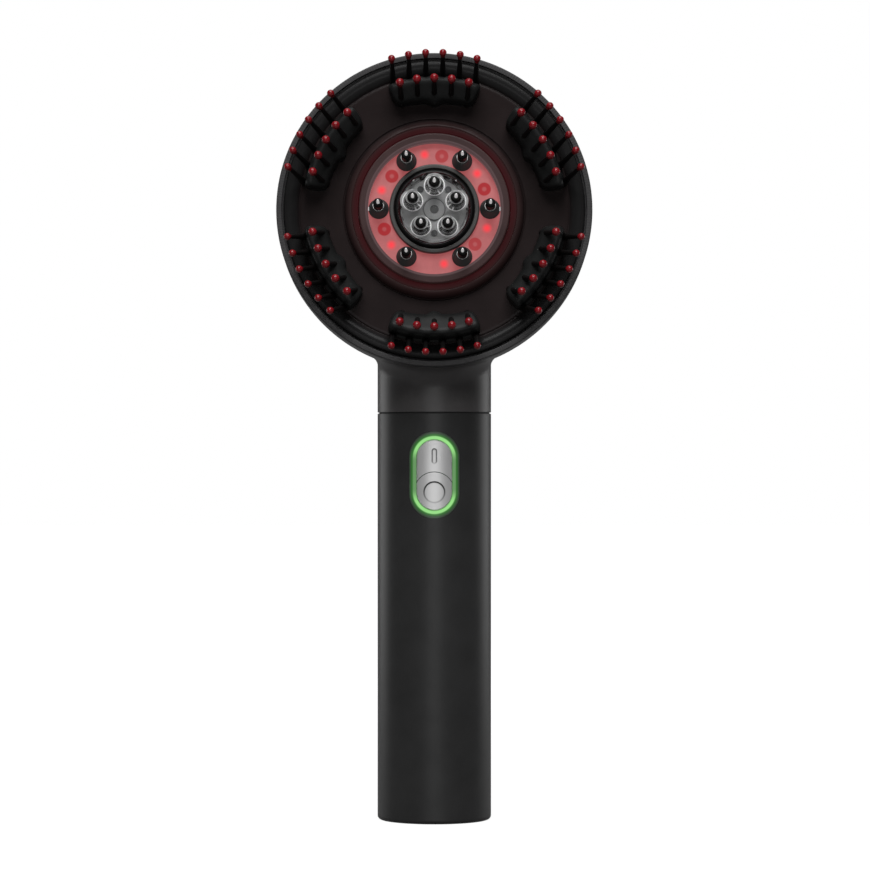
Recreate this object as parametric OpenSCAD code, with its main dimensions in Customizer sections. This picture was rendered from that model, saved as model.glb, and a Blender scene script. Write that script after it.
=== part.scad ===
// Electric scalp massager: a round comb head on an upright cylindrical handle.
// Millimetres. The Z axis is the handle's axis, and the origin is the centre of the
// flat end that it stands on. The working face of the head looks towards -Y.
// Head parts are drawn in the head's own frame: x right, y up, z out of the face,
// with z = 0 at the front plane of the rim.

/* [Handle] */
// Diameter of the handle and of the neck
handle_d = 33.5; // [33:0.1:34]
// Height of the seam between the handle and the head's neck
seam_height = 119.7; // [119:0.1:121]
// Wall of the handle tube
handle_wall = 1.8; // [1.6:0.1:2]
// Rounding of the handle's lower edge
foot_round = 1.2; // [0.8:0.1:1.4]
// Height of the shadow gap at the seam
seam_gap = 0.35; // [0.2:0.05:0.5]

/* [Buttons] */
// Height of the middle of the button field
button_height = 101.7; // [101.2:0.1:102.2]
// Width of the two-part button
button_w = 9.9; // [9.8:0.05:9.9]
// Height of the two-part button
button_h = 20.1; // [20:0.05:20.1]
// How far each button presses in
button_travel = 0.5; // [0.3:0.05:0.5]
// Depth of the marks in the buttons at their upper edge
mark_depth = 0.35; // [0.2:0.05:0.4]

/* [Head] */
// Outer diameter of the head
head_d = 91.6; // [91.4:0.1:91.8]
// Height of the middle of the rim
head_height = 178.7; // [178:0.1:179.5]
// Angle by which the face looks up
head_tilt = 4.5; // [3.5:0.1:5.5]
// Distance of the rim's middle in front of the handle's axis
rim_forward = 21; // [20.5:0.1:21.5]
// Depth of the straight side wall behind the rim
side_depth = 9; // [8.5:0.1:9.5]
// Depth of the domed back behind the side wall
dome_depth = 33; // [32.5:0.1:33.5]
// Wall of the head shell
shell_wall = 2; // [1.8:0.1:2.2]
// Fillet between the neck and the head
neck_fillet = 6; // [5:0.1:6.5]

/* [Comb pads] */
// Number of comb pads round the face
pad_count = 6; // [6:1:6]
// Inner radius of a comb pad's block
pad_r_in = 30.8; // [30.6:0.1:31]
// Outer radius of a comb pad's block
pad_r_out = 37.8; // [37.6:0.1:37.9]
// Height of the block's crest above the rim plane
pad_crest = 7.1; // [6.9:0.1:7.4]
// Height of the bristle tips above the rim plane
bristle_height = 14.6; // [14:0.1:15]
// Radius of the circle of the inner row's tips
inner_tip_r = 35.8; // [35.6:0.1:36]
// Radius of the circle of the outer row's tips
outer_tip_r = 43.1; // [42.9:0.1:43.3]
// Radius of the balls of the inner row
inner_ball_r = 1.15; // [1.1:0.01:1.2]
// Radius of the balls of the outer row
outer_ball_r = 0.98; // [0.9:0.01:1.1]

/* [Pins] */
// Radius of the circle of the electrode pins
electrode_circle_r = 16.1; // [16:0.05:16.2]
// Height of the electrode pins' tips above the rim plane
electrode_height = 18.2; // [17.8:0.1:18.5]
// Radius of the circle of the dispensing pins
dispenser_circle_r = 6.55; // [6.5:0.01:6.6]
// Height of the dispensing pins' tips above the rim plane
dispenser_height = 16.1; // [15.8:0.1:16.4]
// How far the pins press in
pin_travel = 1.5; // [1:0.1:1.5]

/* [Hidden] */

$fn = 96;
small_fn = 40;
cut = 1; // how far a cutting solid runs past what it cuts

// Handle
handle_r = handle_d / 2;
handle_bore_r = handle_r - handle_wall;
cap_r = handle_bore_r - 0.1;
cap_thickness = 3;
joiner_r = handle_bore_r - 0.3;

// Charging socket, low on the back
socket_z = 14;
socket_w = 8.94;
socket_h = 3.26;
socket_wall = 0.3;
socket_length = 6.5;
socket_mouth_y = handle_r - 0.6;
socket_cut_margin = 0.35;

// Inside the handle
battery_r = 9.2;
battery_bottom = 20;
battery_length = 65.8;
terminal_h = 1.2;
battery_top = battery_bottom + battery_length;
battery_y = 1.4;
tab_t = 0.3;
chassis_bottom = 17;
rail_bottom = 88.4;
charging_board_t = 1.2;
charging_board_top = socket_z - socket_h / 2;
board_front_y = -8.6;
board_t = 1.6;
board_w = 22;
board_bottom = 88.6;
board_top = 115.2;
spine_y = 11;
spine_t = 1.6;
wire_r = 0.5;
rail_x = 6.8;
wire_hole_r = 26;
wire_hole_angle = 230;

// Button field: pill outlines stacked from the outside in
window_w = 14.7;
window_h = 25.4;
ring_outer_w = 12.8;
ring_outer_h = 23;
ring_inner_w = 10.4;
ring_inner_h = 20.6;
bezel_face_r = handle_r - 0.3;
ring_face_r = handle_r - 0.4;
button_face_r = handle_r + 0.15;
bezel_gap = 0.08;
button_back_y = 12.8;
flange_w = 11.2;
flange_h = 21.4;
flange_t = 0.8;
off_mark_z = button_height - 5;
off_mark_r = 3;
off_arc_r = 5.8;
on_mark_z = button_height + 5.5;
on_mark_w = 1.5;
on_mark_h = 4.2;
button_seam = 0.2;
switch_z = [off_mark_z - 1, on_mark_z];
switch_body = 4.5;
switch_body_t = 1.6;
switch_cap_r = 1.1;
switch_cap_y = board_front_y - 2.3;

// Head
head_r = head_d / 2;
rim_back = -3;
rim_seam_r = 43.7;
shell_front = rim_back - 0.2;
head_depth = side_depth + dome_depth;
neck_top = head_height - 17;
frame_front = -6;
frame_back = -8;

// Face, heights above the rim plane
dish_z = -1;
dish_r_in = 26.6;
dish_r_out = 38.9;
hub_r = 23.95;
hub_z = 2;
glow_r_in = 22;
glow_r_out = 23.8;
lens_r_in = 19.2;
lens_r_out = 21.85;
lens_z = 2.7;
diffuser_r_in = 12.95;
diffuser_r_out = 19.1;
diffuser_t = 1;
inner_ring_r_in = 11.7;
inner_ring_r_out = 12.85;
inner_ring_lap_r = 13.1;
inner_ring_z = 1.5;
led_board_front = -1.6;
led_board_t = 1;

// Tank and its window
window_r = 10.45;
window_front = 2.4;
window_t = 1.2;
tank_r = 10.3;
tank_wall = 1;
tank_back = -21;
plate_front = -0.6;
plate_t = 1.1;
valve_wall_front = -8;
valve_wall_t = 1.2;
nozzle_r_base = 2.95;
nozzle_r_top = 2.05;
nozzle_height = 9.8;
guide_bore_r = 1.6;

// Pins
plunger_r = 1.52;
dispenser_plunger_top = 10.8;
dispenser_plunger_bottom = 1.1;
stem_r = 0.7;
guide_r = 0.78;
valve_flange_z = -2.5;
electrode_r = 1.4;
electrode_shoulder = 12.8;
electrode_flange_z = -3.4;

// Filling spout and plug at the middle of the back
spout_r = 4;
spout_bore_r = 2.4;
plug_stem_r = 2.34;
plug_head_r = 6;
plug_head_t = 1.6;
plug_recess_depth = 1.4;

// Motor behind the head frame
motor_r = 6;
motor_len = 18;
motor_y = -23;
motor_z = -18;
shaft_r = 0.75;
weight_r = 5;
weight_t = 4;

// Comb pads and bristles
pad_angles = [for (i = [0 : pad_count - 1]) 90 + i * 360 / pad_count];
inner_row = [for (i = [-2 : 2]) i * 8];
outer_row = [for (i = [-2.5 : 2.5]) i * 6.6];
stem_base_r = 0.78;
stem_top_r = 0.5;
inner_root = [30.7, 1.6];
outer_root = [38.1, -0.6];
inner_tip = [inner_tip_r, bristle_height];
outer_tip = [outer_tip_r, bristle_height];
root_spread = 0.97;
peg_side_angles = [-11, 11];
peg_angles = [for (a = pad_angles) for (side = peg_side_angles) a + side];
peg_circle_r = 34;
peg_r = 1.25;

// Places on the head
electrode_angles = [for (i = [0 : 5]) i * 60];
dispenser_angles = [for (i = [0 : 4]) 90 + i * 72];
red_led_angles = [for (i = [0 : 5]) 40 + i * 60];
red_led_r = 16;
infrared_angles = [82, 22, 319, 202, 142];
infrared_r = 15.45;
post_angles = [48, 132, 212, 328];
post_circle_r = 31;
chamber_screw_angles = [55, 125, 270];
chamber_screw_r = 7;

// ---- helpers ----

// Moves head parts from the head's frame to the handle's frame
module at_head() {
    translate([0, -rim_forward, head_height]) rotate([90 - head_tilt, 0, 0]) children();
}

// Puts children on a circle in the head's frame
module around(radius, angles) {
    for (a = angles) rotate([0, 0, a]) translate([radius, 0, 0]) children();
}

// Plain ring between two radii and two heights
module band(r_in, r_out, z_low, z_high) {
    rotate_extrude() translate([r_in, z_low]) square([r_out - r_in, z_high - z_low]);
}

// Plain rod along Z between two heights
module rod(r, z_low, z_high) {
    translate([0, 0, z_low]) cylinder(r = r, h = z_high - z_low);
}

// Upright outline with round ends, in the XY plane
module pill(w, h) {
    if (h > w) {
        square([w, h - w], center = true);
        translate([0, (h - w) / 2]) circle(d = w);
    }
    translate([0, (w - h) / 2]) circle(d = w);
}

// Bar with a pill outline that runs from y_front to y_back at height z
module pill_bar(w, h, z, y_front, y_back) {
    translate([0, y_back, z]) rotate([90, 0, 0]) linear_extrude(y_back - y_front) pill(w, h);
}

// Points of the domed back, from the side wall to the axis
function dome_points(r, z_side, depth) =
    [for (i = [0 : 18]) let (t = 90 * i / 18)
        [r * pow(cos(t), 2 / 2.6), z_side - depth * pow(sin(t), 2 / 2.2)]];

// Solid of revolution with the head's side wall and back, grown by g
module head_form(g, z_front) {
    rotate_extrude() polygon(concat(
        [[0, z_front], [head_r + g, z_front]],
        dome_points(head_r + g, -side_depth, dome_depth + g)));
}

// Quarter round of points about a centre, from one angle to another
function arc(cx, cz, r, a_from, a_to, n) =
    [for (i = [0 : n]) let (a = a_from + (a_to - a_from) * i / n)
        [cx + r * cos(a), cz + r * sin(a)]];

// Spring drawn as a thin sleeve with one bead for each turn
module spring(coil_r, wire_r, z_low, z_high, turns) {
    half_turns = 2 * turns;
    step = (z_high - z_low) / half_turns;
    bead = [for (i = [0 : half_turns]) [coil_r + (i % 2 == 0 ? 0 : wire_r), z_low + i * step]];
    rotate_extrude($fn = small_fn) polygon(concat(
        bead, [for (i = [half_turns : -1 : 0]) bead[i] - [wire_r, 0]]));
}

// ---- handle ----

module handle_tube() {
    color([0.13, 0.13, 0.13]) difference() {
        rotate_extrude() polygon(concat(
            [[handle_bore_r, 0]],
            arc(handle_r - foot_round, foot_round, foot_round, -90, 0, 6),
            [[handle_r, seam_height - 0.15], [handle_r - 0.15, seam_height], [handle_bore_r, seam_height]]));
        pill_bar(window_w, window_h, button_height, -handle_r - cut, -8);
        translate([0, handle_r + cut, socket_z]) rotate([90, 90, 0])
            linear_extrude(6) pill(socket_h + 2 * socket_cut_margin, socket_w + 2 * socket_cut_margin);
    }
}

module end_cap() {
    color([0.1, 0.1, 0.1]) {
        difference() {
            rod(cap_r, 0, cap_thickness);
            band(cap_r - 2.2, cap_r - 1.8, -cut, 0.4);
        }
        band(cap_r - 1.4, cap_r - 0.2, cap_thickness, cap_thickness + 4);
    }
}

module neck_joiner() {
    color([0.05, 0.05, 0.05]) {
        band(joiner_r - 1.8, joiner_r, seam_height - 4, seam_height + 8);
        band(joiner_r - 0.5, handle_r - 0.45, seam_height, seam_height + seam_gap);
    }
}

// Inner frame: a spine at the back with two bulkheads, two board rails and a socket seat
module chassis() {
    color([0.85, 0.85, 0.82]) difference() {
        union() {
            translate([-7, spine_y, chassis_bottom]) cube([14, spine_t, board_top - chassis_bottom]);
            intersection() {
                union() {
                    rod(handle_bore_r - 0.3, chassis_bottom, battery_bottom - tab_t);
                    rod(handle_bore_r - 0.3, battery_top + tab_t, rail_bottom);
                }
                translate([-20, -9.6, 0]) cube([40, 40, 130]);
            }
            for (side = [-1, 1])
                translate([side * rail_x - 0.8, board_front_y + board_t, rail_bottom - 0.5])
                    cube([1.6, spine_y + 0.5 - board_front_y - board_t, board_top - rail_bottom + 0.5]);
            translate([-4, 6.6, charging_board_top]) cube([8, 2, chassis_bottom + 0.5 - charging_board_top]);
        }
        for (side = [-1, 1])
            translate([side * 11, -2, 10]) cylinder(r = 1.6, h = 90, $fn = small_fn);
    }
}

module battery_cell() {
    color([0.15, 0.42, 0.7]) translate([0, battery_y, battery_bottom]) {
        rod(battery_r, 0, battery_length - terminal_h);
        rod(3, battery_length - terminal_h, battery_length);
    }
}

module battery_tabs() {
    color([0.75, 0.75, 0.72]) {
        translate([-4, battery_y - 8, battery_bottom - tab_t]) cube([8, 16, tab_t]);
        translate([-4, battery_y - 8, battery_top]) cube([8, 16, tab_t]);
    }
}

module control_board() {
    color([0.05, 0.3, 0.12])
        translate([-board_w / 2, board_front_y, board_bottom])
            cube([board_w, board_t, board_top - board_bottom]);
}

module board_parts() {
    y_back = board_front_y + board_t;
    color([0.1, 0.1, 0.11]) {
        translate([-3.5, y_back, 94]) cube([7, 1.1, 7]);
        translate([-3, y_back, 104]) cube([5, 1.5, 4]);
        translate([-4, y_back, 110.5]) cube([8, 4, 5]);
        for (side = [-1, 1]) for (z = [91, 112.5])
            translate([side * 7.4 - 0.8, board_front_y - 0.6, z]) cube([1.6, 0.6, 1.2]);
    }
}

module tact_switches() {
    color([0.2, 0.2, 0.2]) for (z = switch_z) {
        translate([-switch_body / 2, board_front_y - switch_body_t, z - switch_body / 2])
            cube([switch_body, switch_body_t, switch_body]);
        translate([0, board_front_y - switch_body_t, z]) rotate([90, 0, 0])
            cylinder(r = switch_cap_r, h = board_front_y - switch_body_t - switch_cap_y, $fn = small_fn);
    }
}

module charging_board() {
    color([0.05, 0.3, 0.12])
        translate([-5.5, 1.5, charging_board_top - charging_board_t]) cube([11, 11.7, charging_board_t]);
}

// Charging inlet with its tongue
module charging_socket() {
    color([0.7, 0.7, 0.72]) {
        translate([0, socket_mouth_y, socket_z]) rotate([90, 90, 0]) difference() {
            linear_extrude(socket_length) pill(socket_h, socket_w);
            translate([0, 0, -cut]) linear_extrude(socket_length + cut - 0.6)
                pill(socket_h - 2 * socket_wall, socket_w - 2 * socket_wall);
        }
        translate([-3.3, socket_mouth_y - socket_length + 0.3, socket_z - 0.35])
            cube([6.6, socket_length - 1, 0.7]);
    }
}

// ---- button field ----

module button_bezel() {
    color([0.03, 0.1, 0.03]) intersection() {
        rod(bezel_face_r, 80, 120);
        difference() {
            pill_bar(window_w - 2 * bezel_gap, window_h - 2 * bezel_gap, button_height, -handle_r - cut, -13);
            pill_bar(ring_outer_w, ring_outer_h, button_height, -handle_r - 2 * cut, -12);
        }
    }
}

module light_ring() {
    color([0.5, 0.9, 0.45]) intersection() {
        rod(ring_face_r, 80, 120);
        difference() {
            pill_bar(ring_outer_w, ring_outer_h, button_height, -handle_r - cut, -13);
            pill_bar(ring_inner_w, ring_inner_h, button_height, -handle_r - 2 * cut, -12);
        }
    }
}

// Half of the button field below the round seam, grown by g
module lower_field(g) {
    translate([0, -5, off_mark_z]) rotate([90, 0, 0]) {
        cylinder(r = off_arc_r + g, h = 20);
        translate([-10, -20, 0]) cube([20, 20 + g, 20]);
    }
}

// Both buttons as one bar, with the hidden flange that holds them in
module button_bar() {
    intersection() {
        rod(button_face_r, 80, 120);
        pill_bar(button_w, button_h, button_height, -handle_r - cut, -button_back_y);
    }
    pill_bar(flange_w, flange_h, button_height, -button_back_y, flange_t - button_back_y);
}

// Sunk mark whose floor rises from its upper edge to the surface at its lower edge
module sunk_mark(w, h, z) {
    floor_angle = atan((mark_depth - 0.04) / h);
    difference() {
        pill_bar(w, h, z, -handle_r - cut, -13);
        translate([0, 0.04 - button_face_r, z - h / 2]) rotate([-floor_angle, 0, 0])
            translate([0, button_face_r, -10]) cylinder(r = button_face_r, h = 30);
    }
}

// Short post behind a button that meets its switch
module button_post(z) {
    post_front = flange_t - button_back_y;
    gap_at_full_press = 0.05;
    translate([0, post_front, z]) rotate([-90, 0, 0])
        cylinder(r = 1, h = switch_cap_y - post_front - button_travel - gap_at_full_press, $fn = small_fn);
}

module on_button() {
    color([0.75, 0.75, 0.75]) {
        difference() {
            button_bar();
            lower_field(button_seam);
            sunk_mark(on_mark_w, on_mark_h, on_mark_z);
        }
        button_post(switch_z[1]);
    }
}

module off_button() {
    color([0.75, 0.75, 0.75]) {
        difference() {
            intersection() {
                button_bar();
                lower_field(0);
            }
            sunk_mark(2 * off_mark_r, 2 * off_mark_r, off_mark_z);
        }
        button_post(switch_z[0]);
    }
}

// ---- wires ----

// Round wire along a list of points, each stretch running a little past its ends;
// every second stretch is slightly thicker
module wire(points) {
    overrun = 0.6 * wire_r;
    for (i = [0 : len(points) - 2]) {
        step = points[i + 1] - points[i];
        translate(points[i]) rotate([0, acos(step[2] / norm(step)), atan2(step[1], step[0])])
            translate([0, 0, -overrun])
                cylinder(r = wire_r + 0.05 * (i % 2), h = norm(step) + 2 * overrun, $fn = 16);
    }
}

module lead_wires() {
    wire_start_z = charging_board_top + 0.6;
    color([0.75, 0.1, 0.1]) {
        wire([[4.6, 4, wire_start_z], [11, -2, 15.5], [11, -2, 90], [10, -6, 93]]);
        wire([[2.5, -2, 113], [3, 1, 124], [-5, 2, 138], [-11, -4, 148], [-10, -4.9, 153]]);
    }
    color([0.1, 0.1, 0.1]) {
        wire([[-4.6, 4, wire_start_z], [-11, -2, 15.5], [-11, -2, 90], [-10, -6, 93]]);
        wire([[-2.5, -2, 113], [-3, -3, 128], [-10, -7, 144], [-16.7, -10.7, 157.8]]);
        at_head() rotate([0, 0, wire_hole_angle])
            wire([[wire_hole_r, 0, -12], [wire_hole_r, 0, -5], [21.4, 0, -5], [18.1, 0, -3.3]]);
    }
}

// ---- head shell and frame ----

// Rounds the corner between neck and head with thin steps of a hollow curve
module neck_blend() {
    for (a = [15 : 15 : 75]) intersection() {
        rod(handle_r + neck_fillet * (1 - sin(a)), seam_height + 8, neck_top);
        at_head() head_form(neck_fillet * (1 - cos(a)), shell_front);
    }
}

module head_shell() {
    neck_foot = seam_height + seam_gap;
    neck_bore_r = handle_r - shell_wall;
    color([0.16, 0.15, 0.15]) difference() {
        union() {
            difference() {
                union() {
                    at_head() head_form(0, shell_front);
                    rod(handle_r, neck_foot, neck_top);
                    neck_blend();
                }
                at_head() {
                    head_form(-shell_wall, shell_front - 1);
                    rod(rim_seam_r, shell_front - 2, cut);
                }
                rod(neck_bore_r, neck_foot - cut, neck_top - 2);
            }
            at_head() intersection() {
                head_form(-shell_wall / 2, shell_front);
                union() {
                    around(post_circle_r, post_angles) rod(2.6, -40, frame_back);
                    rod(spout_r + 4, -head_depth, 3.5 - head_depth);
                }
            }
        }
        at_head() {
            around(post_circle_r, post_angles) rod(0.95, -18, frame_back + cut);
            rod(plug_head_r + 0.3, -head_depth - cut, plug_recess_depth - head_depth);
            rod(spout_r + 0.1, -head_depth - cut, -30);
        }
    }
}

module rim_ring() {
    color([0.2, 0.2, 0.2]) at_head() rotate_extrude() polygon(concat(
        [[42.6, -6], [rim_seam_r - 0.1, -6], [rim_seam_r - 0.1, rim_back], [head_r, rim_back]],
        arc(head_r - 0.35, -0.35, 0.35, 0, 90, 5),
        arc(rim_seam_r + 0.7, -0.2, 0.2, 90, 180, 3),
        [[rim_seam_r + 0.5, -1.5], [rim_seam_r, -1.6], [rim_seam_r, -2.4], [42.6, -2.9]]));
}

// Smoked cover: rolled edge, flat dish and a raised hub round the light
module face_cover() {
    color([0.12, 0.1, 0.1]) at_head() difference() {
        rotate_extrude() polygon(concat(
            [[hub_r, -3.6], [hub_r, hub_z - 0.2], [hub_r + 0.2, hub_z]],
            [[25.5, -0.55], [25.95, -1.35], [26.3, -1.35], [dish_r_in, dish_z]],
            [[dish_r_out, dish_z], [39.05, dish_z - 0.25], [39.3, dish_z - 0.2]],
            arc(42.3, -3, 3.2, 145.8, 67, 12),
            [[rim_seam_r - 0.15, -2.3], [42.3, -2.7], [39.5, -2.6], [27, -2.7], [25.6, -3.6]]));
        around(peg_circle_r, peg_angles) rod(peg_r + 0.05, -4, 0);
    }
}

module head_frame() {
    color([0.8, 0.8, 0.78]) at_head() difference() {
        union() {
            band(tank_r + 0.35, 42.4, frame_back, frame_front);
            band(18.6, 20.6, frame_front, led_board_front - led_board_t);
            band(tank_r + 0.35, inner_ring_r_out, frame_front, led_board_front - led_board_t);
            band(22.1, 23.7, frame_front, -3.6);
            band(40.6, 42.2, frame_front, -2.8);
            around(electrode_circle_r, electrode_angles) rod(1.8, frame_back - 2, frame_back);
        }
        around(electrode_circle_r, electrode_angles) rod(guide_r, frame_back - 3, frame_front + cut);
        around(post_circle_r, post_angles) rod(1.3, frame_back - cut, frame_front + cut);
        around(wire_hole_r, [wire_hole_angle, 310]) rod(2, frame_back - cut, frame_front + cut);
        rotate([0, 0, wire_hole_angle]) translate([18, -1, frame_front]) cube([6, 2, 5]);
    }
}

module frame_screws() {
    color([0.7, 0.7, 0.7]) at_head() around(post_circle_r, post_angles) difference() {
        union() {
            rod(0.9, -17, frame_front);
            rod(2.1, frame_front, frame_front + 1.4);
        }
        translate([0, 0, frame_front + 0.6]) cylinder(r = 0.9, h = 2, $fn = 6);
    }
}

// ---- rings round the light ----

module glow_ring() {
    color([0.35, 0.04, 0.05]) at_head() rotate_extrude() polygon([
        [glow_r_in, -3.6], [glow_r_out, -3.6], [glow_r_out, 1.5], [23.5, 1.75], [22.3, 1.75],
        [glow_r_in, 1.5]]);
}

module lens_ring() {
    color([0.4, 0.28, 0.28, 0.8]) at_head() rotate_extrude() polygon(concat(
        [[19.45, led_board_front - led_board_t], [lens_r_out, led_board_front - led_board_t]],
        arc(lens_r_out - 0.4, lens_z - 0.4, 0.4, 0, 90, 4),
        [[lens_r_in + 0.55, lens_z], [lens_r_in, lens_z - 0.7], [lens_r_in, -1.05], [19.45, -1.05]]));
}

module diffuser_ring() {
    color([0.85, 0.45, 0.45, 0.8]) at_head() difference() {
        band(diffuser_r_in, diffuser_r_out, -diffuser_t, 0);
        around(electrode_circle_r, electrode_angles) rod(2.5, -2, 1);
    }
}

module led_board() {
    color([0.85, 0.85, 0.85]) at_head() difference() {
        band(12.9, 19.4, led_board_front - led_board_t, led_board_front);
        around(electrode_circle_r, electrode_angles) rod(1.6, -4, 0);
    }
}

module red_leds() {
    color([0.95, 0.2, 0.25]) at_head() around(red_led_r, red_led_angles)
        rod(1.1, led_board_front, -diffuser_t);
}

module infrared_leds() {
    color([0.5, 0.05, 0.08]) at_head() around(infrared_r, infrared_angles)
        rod(1.9, led_board_front, -diffuser_t);
}

// Sprung contacts' common ring
module contact_ring() {
    color([0.8, 0.65, 0.3]) at_head() difference() {
        band(13.9, 18.3, frame_front, frame_front + 0.3);
        around(electrode_circle_r, electrode_angles) rod(guide_r + 0.1, -7, 0);
    }
}

module inner_ring() {
    color([0.28, 0.27, 0.27]) at_head() rotate_extrude() polygon(concat(
        [[inner_ring_r_in, led_board_front - led_board_t], [inner_ring_r_out, led_board_front - led_board_t]],
        [[inner_ring_r_out, 0], [inner_ring_lap_r, 0], [inner_ring_lap_r, 0.4]],
        arc(inner_ring_r_out - 0.25, inner_ring_z - 0.35, 0.35, 10, 90, 4),
        [[inner_ring_r_in + 0.3, inner_ring_z], [inner_ring_r_in, inner_ring_z - 0.3]]));
}

// ---- tank ----

module tank_seal() {
    color([0.02, 0.02, 0.02]) at_head() rotate_extrude() polygon([
        [window_r + 0.05, -0.4], [inner_ring_r_in, -0.4], [inner_ring_r_in, 0.9], [11.4, 1.2],
        [10.9, 2], [window_r + 0.05, 2.1]]);
}

// Clear front of the tank with five nozzles
module tank_window() {
    window_back = window_front - window_t;
    color([0.75, 0.77, 0.78, 0.45]) at_head() {
        difference() {
            union() {
                rod(window_r, window_back, window_front - 0.3);
                rod(window_r - 0.3, window_back, window_front);
            }
            around(dispenser_circle_r, dispenser_angles) rod(nozzle_r_base - 0.4, -1, 4);
        }
        band(window_r - 1, window_r, -0.3, window_back);
        around(dispenser_circle_r, dispenser_angles) nozzle(window_back);
    }
}

// Clear tapered nozzle with a guide tube held by ribs
module nozzle(base_z) {
    wall = 0.4;
    guide_wall = 0.3;
    cone_h = nozzle_height - base_z;
    difference() {
        translate([0, 0, base_z]) cylinder(r1 = nozzle_r_base, r2 = nozzle_r_top, h = cone_h);
        translate([0, 0, base_z - 0.01])
            cylinder(r1 = nozzle_r_base - wall, r2 = nozzle_r_top - guide_wall, h = cone_h + 0.02);
    }
    band(guide_bore_r, guide_bore_r + guide_wall, base_z, nozzle_height - 0.8);
    for (a = [0 : 60 : 300]) rotate([0, 0, a])
        translate([guide_bore_r + 0.1, -0.15, base_z]) cube([nozzle_r_base - guide_bore_r - 0.3, 0.3, 1.2]);
}

module tank_body() {
    color([0.6, 0.62, 0.63, 0.9]) at_head() difference() {
        union() {
            rod(tank_r, tank_back, -0.4);
            rod(tank_r + 1.9, frame_back - 1.2, frame_back);
            rod(spout_r, -head_depth + plug_recess_depth, tank_back);
        }
        difference() {
            rod(tank_r - tank_wall, valve_wall_front, cut);
            around(chamber_screw_r, chamber_screw_angles)
                rod(1.2, valve_wall_front - cut, plate_front - plate_t);
        }
        around(chamber_screw_r, chamber_screw_angles) rod(0.57, -4, cut);
        rod(tank_r - tank_wall, tank_back + tank_wall, valve_wall_front - valve_wall_t);
        rod(spout_bore_r, -head_depth, tank_back + 2);
        around(dispenser_circle_r, dispenser_angles) rod(guide_r, -12, valve_wall_front + cut);
        rod(1.2, -12, valve_wall_front + cut);
    }
}

module chamber_plate() {
    color([0.45, 0.46, 0.46]) at_head() difference() {
        union() {
            rod(tank_r - tank_wall - 0.1, plate_front - plate_t, plate_front);
            band(1.4, 3, plate_front, plate_front + 0.35);
            rod(1.2, plate_front, plate_front + 0.2);
        }
        around(dispenser_circle_r, dispenser_angles) rod(guide_r, -4, 1);
        around(chamber_screw_r, chamber_screw_angles) rod(0.6, -4, 1);
    }
}

module chamber_screws() {
    color([0.2, 0.2, 0.2]) at_head() around(chamber_screw_r, chamber_screw_angles) {
        rod(0.55, plate_front - plate_t - 2, plate_front);
        rod(0.95, plate_front, plate_front + 0.5);
    }
}

// ---- pins ----

// Liquid pin: black plunger with a fine metal tip, a stem and a stop flange
module dispensing_pin(i) {
    tip_r = 0.55;
    at_head() rotate([0, 0, dispenser_angles[i]]) translate([dispenser_circle_r, 0, 0]) {
        color([0.05, 0.05, 0.05]) {
            rod(plunger_r, dispenser_plunger_bottom, dispenser_plunger_top - 0.5);
            translate([0, 0, dispenser_plunger_top - 0.5]) cylinder(r1 = plunger_r, r2 = 0.9, h = 0.5);
        }
        color([0.85, 0.85, 0.85]) {
            rod(tip_r, dispenser_plunger_top, dispenser_height - tip_r);
            translate([0, 0, dispenser_height - tip_r]) sphere(r = tip_r, $fn = small_fn);
        }
        color([0.6, 0.6, 0.6]) {
            rod(stem_r, -11, dispenser_plunger_bottom);
            rod(1.3, valve_flange_z, valve_flange_z + 0.6);
        }
    }
}

module valve_springs() {
    color([0.75, 0.75, 0.75]) at_head() around(dispenser_circle_r, dispenser_angles)
        spring(1.1, 0.25, valve_wall_front, valve_flange_z, 6);
}

// Massage electrode: sprung plunger with a bright tip
module electrode_pin(i) {
    tip_r = 0.48;
    at_head() rotate([0, 0, electrode_angles[i]]) translate([electrode_circle_r, 0, 0]) {
        color([0.05, 0.05, 0.05]) {
            rod(electrode_r, electrode_flange_z, electrode_shoulder - 0.6);
            translate([0, 0, electrode_shoulder - 0.6]) cylinder(r1 = electrode_r, r2 = 0.8, h = 0.6);
        }
        color([0.85, 0.85, 0.85]) {
            rod(tip_r, electrode_shoulder, electrode_height - tip_r);
            translate([0, 0, electrode_height - tip_r]) sphere(r = tip_r, $fn = small_fn);
        }
        color([0.6, 0.6, 0.6]) {
            rod(1.9, electrode_flange_z, electrode_flange_z + 0.6);
            rod(stem_r, -11.5, electrode_flange_z);
        }
    }
}

module electrode_springs() {
    color([0.75, 0.75, 0.75]) at_head() around(electrode_circle_r, electrode_angles)
        spring(1.3, 0.25, frame_front + 0.3, electrode_flange_z, 4);
}

// Rubber boots on the LED board, one round each electrode
module pin_boots() {
    bore_r = electrode_r + 0.08;
    color([0.1, 0.09, 0.09]) at_head() around(electrode_circle_r, electrode_angles)
        rotate_extrude() polygon([
            [bore_r, led_board_front], [2.35, led_board_front], [2.4, 0.02], [2.95, 0.02], [2.95, 0.5],
            [2.7, 1.1], [1.95, 6.2], [1.75, 6.6], [1.75, 6.9], [bore_r, 6.9]]);
}

// ---- comb pads ----

// Point at radius r and angle a
function polar(r, a) = [r * cos(a), r * sin(a)];

// Puts children at the root of the bristle at angle a, with Z along it. Root and tip are
// [radius, height], and the bristles of a pad lean outwards side by side.
module at_bristle(a, root, tip) {
    end = concat(polar(tip[0], a), tip[1]);
    along = [tip[0] - root[0], (1 - root_spread) * end[1], tip[1] - root[1]];
    $bristle_length = norm(along);
    translate(end - along) rotate([0, 0, atan2(along[1], along[0])])
        rotate([0, acos(along[2] / $bristle_length), 0]) children();
}

module stem() {
    cylinder(r1 = stem_base_r, r2 = stem_top_r, h = $bristle_length, $fn = small_fn);
}

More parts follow.
